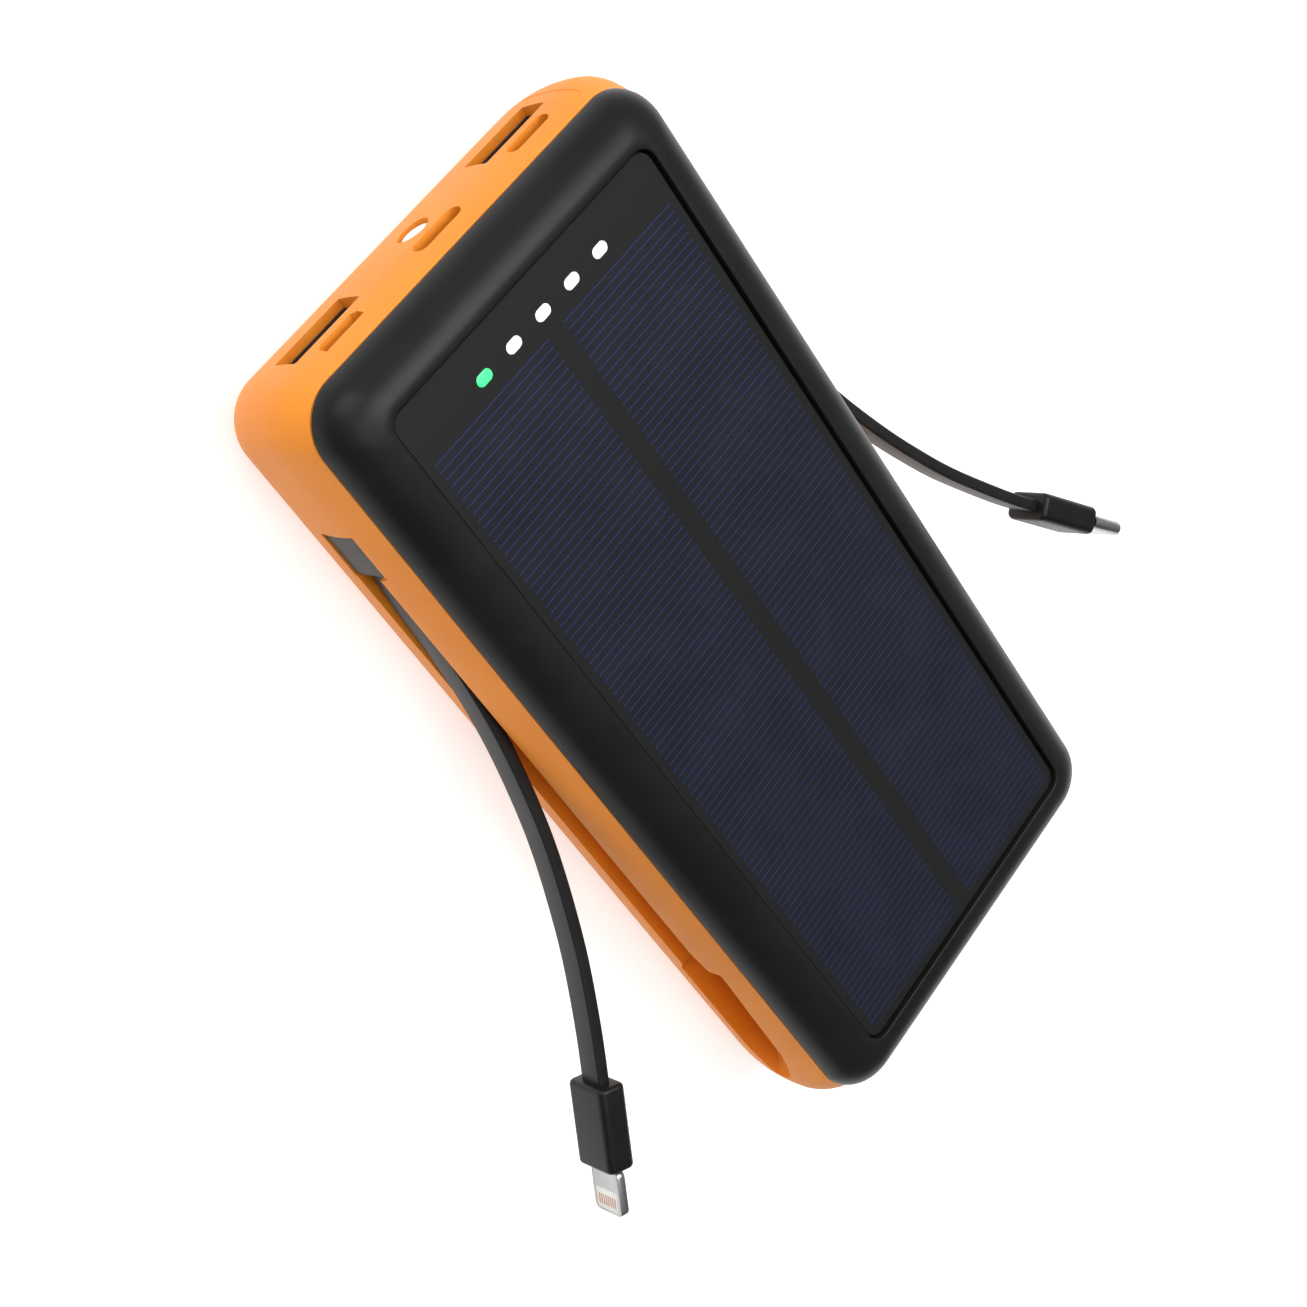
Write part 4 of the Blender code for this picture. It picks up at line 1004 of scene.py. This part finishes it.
# %% Metals
def metal(name, tone, rough, marks=0.0004, depth=0.000003):
    """Plated metal: drawing marks stretched along Y in the bump, and a gloss that varies."""
    it = Finish(name)
    drawn = it.noise(marks, 3.0, 0.6, stretch=(1.0, 0.1, 1.0))
    stain = it.noise(0.003, 3.0)
    colour = it.mix(stain.step(0.3, 0.7), light(tone), light(tuple(int(0.92 * c) for c in tone)))
    return it.shade(Base_Color=colour, Metallic=1.0, Roughness=rough + 0.10 * drawn + 0.05 * stain,
                    Normal=it.bump(drawn, depth))


finishes["plated_steel"] = metal("plated_steel", (184, 184, 185), 0.24)
finishes["gold_contact"] = metal("gold_contact", (192, 148, 126), 0.28)
finishes["cell_foil"] = metal("pouch_cell_foil", (176, 178, 184), 0.36, 0.0012, 0.00003)


# %% Boards, foam and rubber
def grained(name, dark, pale, size, rough, depth, shine=0.4):
    """A plain body colour that wanders between two tones, with grain of one size."""
    it = Finish(name)
    cloud = it.noise(size * 6, 3.0)
    grain = it.noise(size, 3.0, 0.65)
    tone = it.mix(cloud.step(0.3, 0.7), light(dark), light(pale))
    return it.shade(Base_Color=tone, Roughness=rough + 0.08 * grain, Specular_IOR_Level=shine,
                    Normal=it.bump(grain, depth))


for name, *look in (
    ("circuit_board", (16, 78, 44), (24, 96, 56), 0.0006, 0.38, 0.00002),
    ("grey_foam", (92, 92, 95), (112, 112, 115), 0.0008, 0.85, 0.0001, 0.1),
    ("seal_rubber", (16, 16, 16), (24, 24, 24), 0.0003, 0.66, 0.00002, 0.2),
    ("red_wire", (176, 22, 20), (198, 30, 26), 0.0004, 0.45, 0.00001),
    ("pale_plastic", (214, 212, 206), (228, 226, 220), 0.0003, 0.42, 0.00001),
    ("torch_window", (244, 244, 242), (252, 252, 250), 0.0006, 0.22, 0.000004),
):
    finishes[name] = grained(name, *look)
print("finishes:", len(finishes))

# %% [markdown]
# ## Give every piece its finish
# New pieces take one material each and ride on a body: the button's cap on the button, all others
# on the casing. A CAD node that stays keeps its mesh and only has its material slots reassigned, by
# what it is made of.

# %% Finishes for new pieces
for slot, finish, *pieces in (
    ("orange_plastic", "orange_plastic", tub),
    ("black_plastic", "black_plastic", rim, cap),
    ("black_plastic", "grip", grip_left, grip_right, tip_core),
    ("cable_rubber", "cable_rubber", cable_left, cable_right),
    ("cable_rubber", "grip", *anchors),
    ("panel_laminate", "panel_laminate", sheet),
    ("plated_steel", "plated_steel", tab_pieces[0], tip_shell, *socket_pieces[::2]),
    # the black linings inside the socket boxes are painted shade
    ("black_plastic", "seal_rubber", *socket_pieces[1::2]),
    ("gold_contact", "gold_contact", *[piece for piece in tab_pieces if "contact" in piece.name]),
    ("white_light", "pale_plastic", *[piece for piece in tab_pieces if "frame" in piece.name]),
    ("green_light", "green_light", pills[0]),
    ("white_light", "white_light", *pills[1:]),
    ("white_light", "torch_window", lens),
):
    for piece in pieces:
        piece.data.materials.clear()
        piece.data.materials.append(finishes[finish])
        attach(piece, "button" if piece is cap else "casing")
print("new pieces are dressed")

# %% Finishes for CAD nodes
NODE_FINISH = {
    "plated_steel": "case_screw usb_a_socket usb_c_socket micro_usb_socket small_input_socket torch_reflector",
    "seal_rubber": "seam_seal usb_a_tongue battery_lead_negative solar_lead_negative",
    "circuit_board": "indicator_board main_board protection_board",
    "grip": "usb_c_tongue micro_usb_tongue small_input_tongue switch_body controller_chip",
    "gold_contact": "torch_led",
    "pale_plastic": "switch_plunger",
    "grey_foam": "inductor battery_pad",
    "cell_foil": "capacitor battery_cell",
    "red_wire": "battery_lead_positive solar_lead_positive",
}
starts = {start: finish for finish, names in NODE_FINISH.items() for start in names.split()}
dressed = []
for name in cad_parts:
    node = bpy.data.objects[name]
    match = [start for start in starts if name.startswith(start)]
    if match and not node.hide_render:
        for place in node.material_slots:
            place.material = finishes[starts[max(match, key=len)]]
        dressed.append(name)
print("CAD nodes dressed:", len(dressed))

# %% [markdown]
# ## Floor and light
# The floor is one pale sheet, softly lit from below like a light table, which keeps shadows faint.
# A broad soft light faces the socket end, a smaller one above draws the long gleam on the frame's
# shoulder, and a third one lights the floor. The sky keeps the shadows open; the part of it that
# the panel mirrors stays dim, so the cells look deep.

# %% Floor
FLOOR_HALF = 12.0
floor = piece_from("floor", FLOOR_HALF * np.array([(-1, -1, 0), (1, -1, 0), (1, 1, 0), (-1, 1, 0)]),
                   [(0, 1, 2, 3)])
paper = Finish("pale_paper")
paper_tone = paper.mix(paper.noise(0.05, 3.0).step(0.3, 0.7), light((208, 208, 208)), light((212, 212, 212)))
floor.data.materials.append(paper.shade(
    Base_Color=paper_tone, Roughness=0.9, Specular_IOR_Level=0.1, Emission_Color=(1.0, 0.99, 0.985, 1.0),
    Emission_Strength=0.60))


# %% Lights
BODY_MIDDLE = (0.0, 0.0, 0.015)


def soft_box(name, place, size, radiance):
    """A square area light facing the body. Its power is radiance times pi times area."""
    data = bpy.data.lights.new(name, "AREA")
    data.shape = "SQUARE"
    data.size = size
    data.energy = radiance * math.pi * size ** 2
    made = bpy.data.objects.new(name, data)
    bpy.context.scene.collection.objects.link(made)
    facing = (Vector(place) - Vector(BODY_MIDDLE)).to_track_quat("Z", "Y")
    made.matrix_world = Matrix.Translation(place) @ facing.to_matrix().to_4x4()


soft_box("key_light", (-0.12, 1.08, 0.85), 0.8, 3.7)
soft_box("top_light", (0.31, 0.14, 0.85), 0.46, 8.5)
soft_box("floor_light", (-0.30, 0.10, 1.60), 0.9, 2.4)

sky = bpy.data.worlds.new("even_sky")
sky.use_nodes = True
sky.node_tree.nodes["Background"].inputs["Color"].default_value = (1.0, 1.0, 1.0, 1.0)
SKY_DIM, SKY_BRIGHT = 0.08, 0.62
SKY_TOWARD = (0.55, 0.70, 0.45)  # the side of the studio with the pale wall
nodes, link = sky.node_tree.nodes, sky.node_tree.links.new
direction, toward, spread = (nodes.new("ShaderNode" + kind) for kind in ("TexCoord", "VectorMath", "MapRange"))
toward.operation = "DOT_PRODUCT"
toward.inputs[1].default_value = SKY_TOWARD
for socket, value in (("From Min", -0.5), ("To Min", SKY_DIM), ("To Max", SKY_BRIGHT)):
    spread.inputs[socket].default_value = value
link(direction.outputs["Generated"], toward.inputs[0])
link(toward.outputs["Value"], spread.inputs["Value"])
link(spread.outputs["Result"], nodes["Background"].inputs["Strength"])
bpy.context.scene.world = sky
bpy.context.scene.view_settings.view_transform = "Standard"
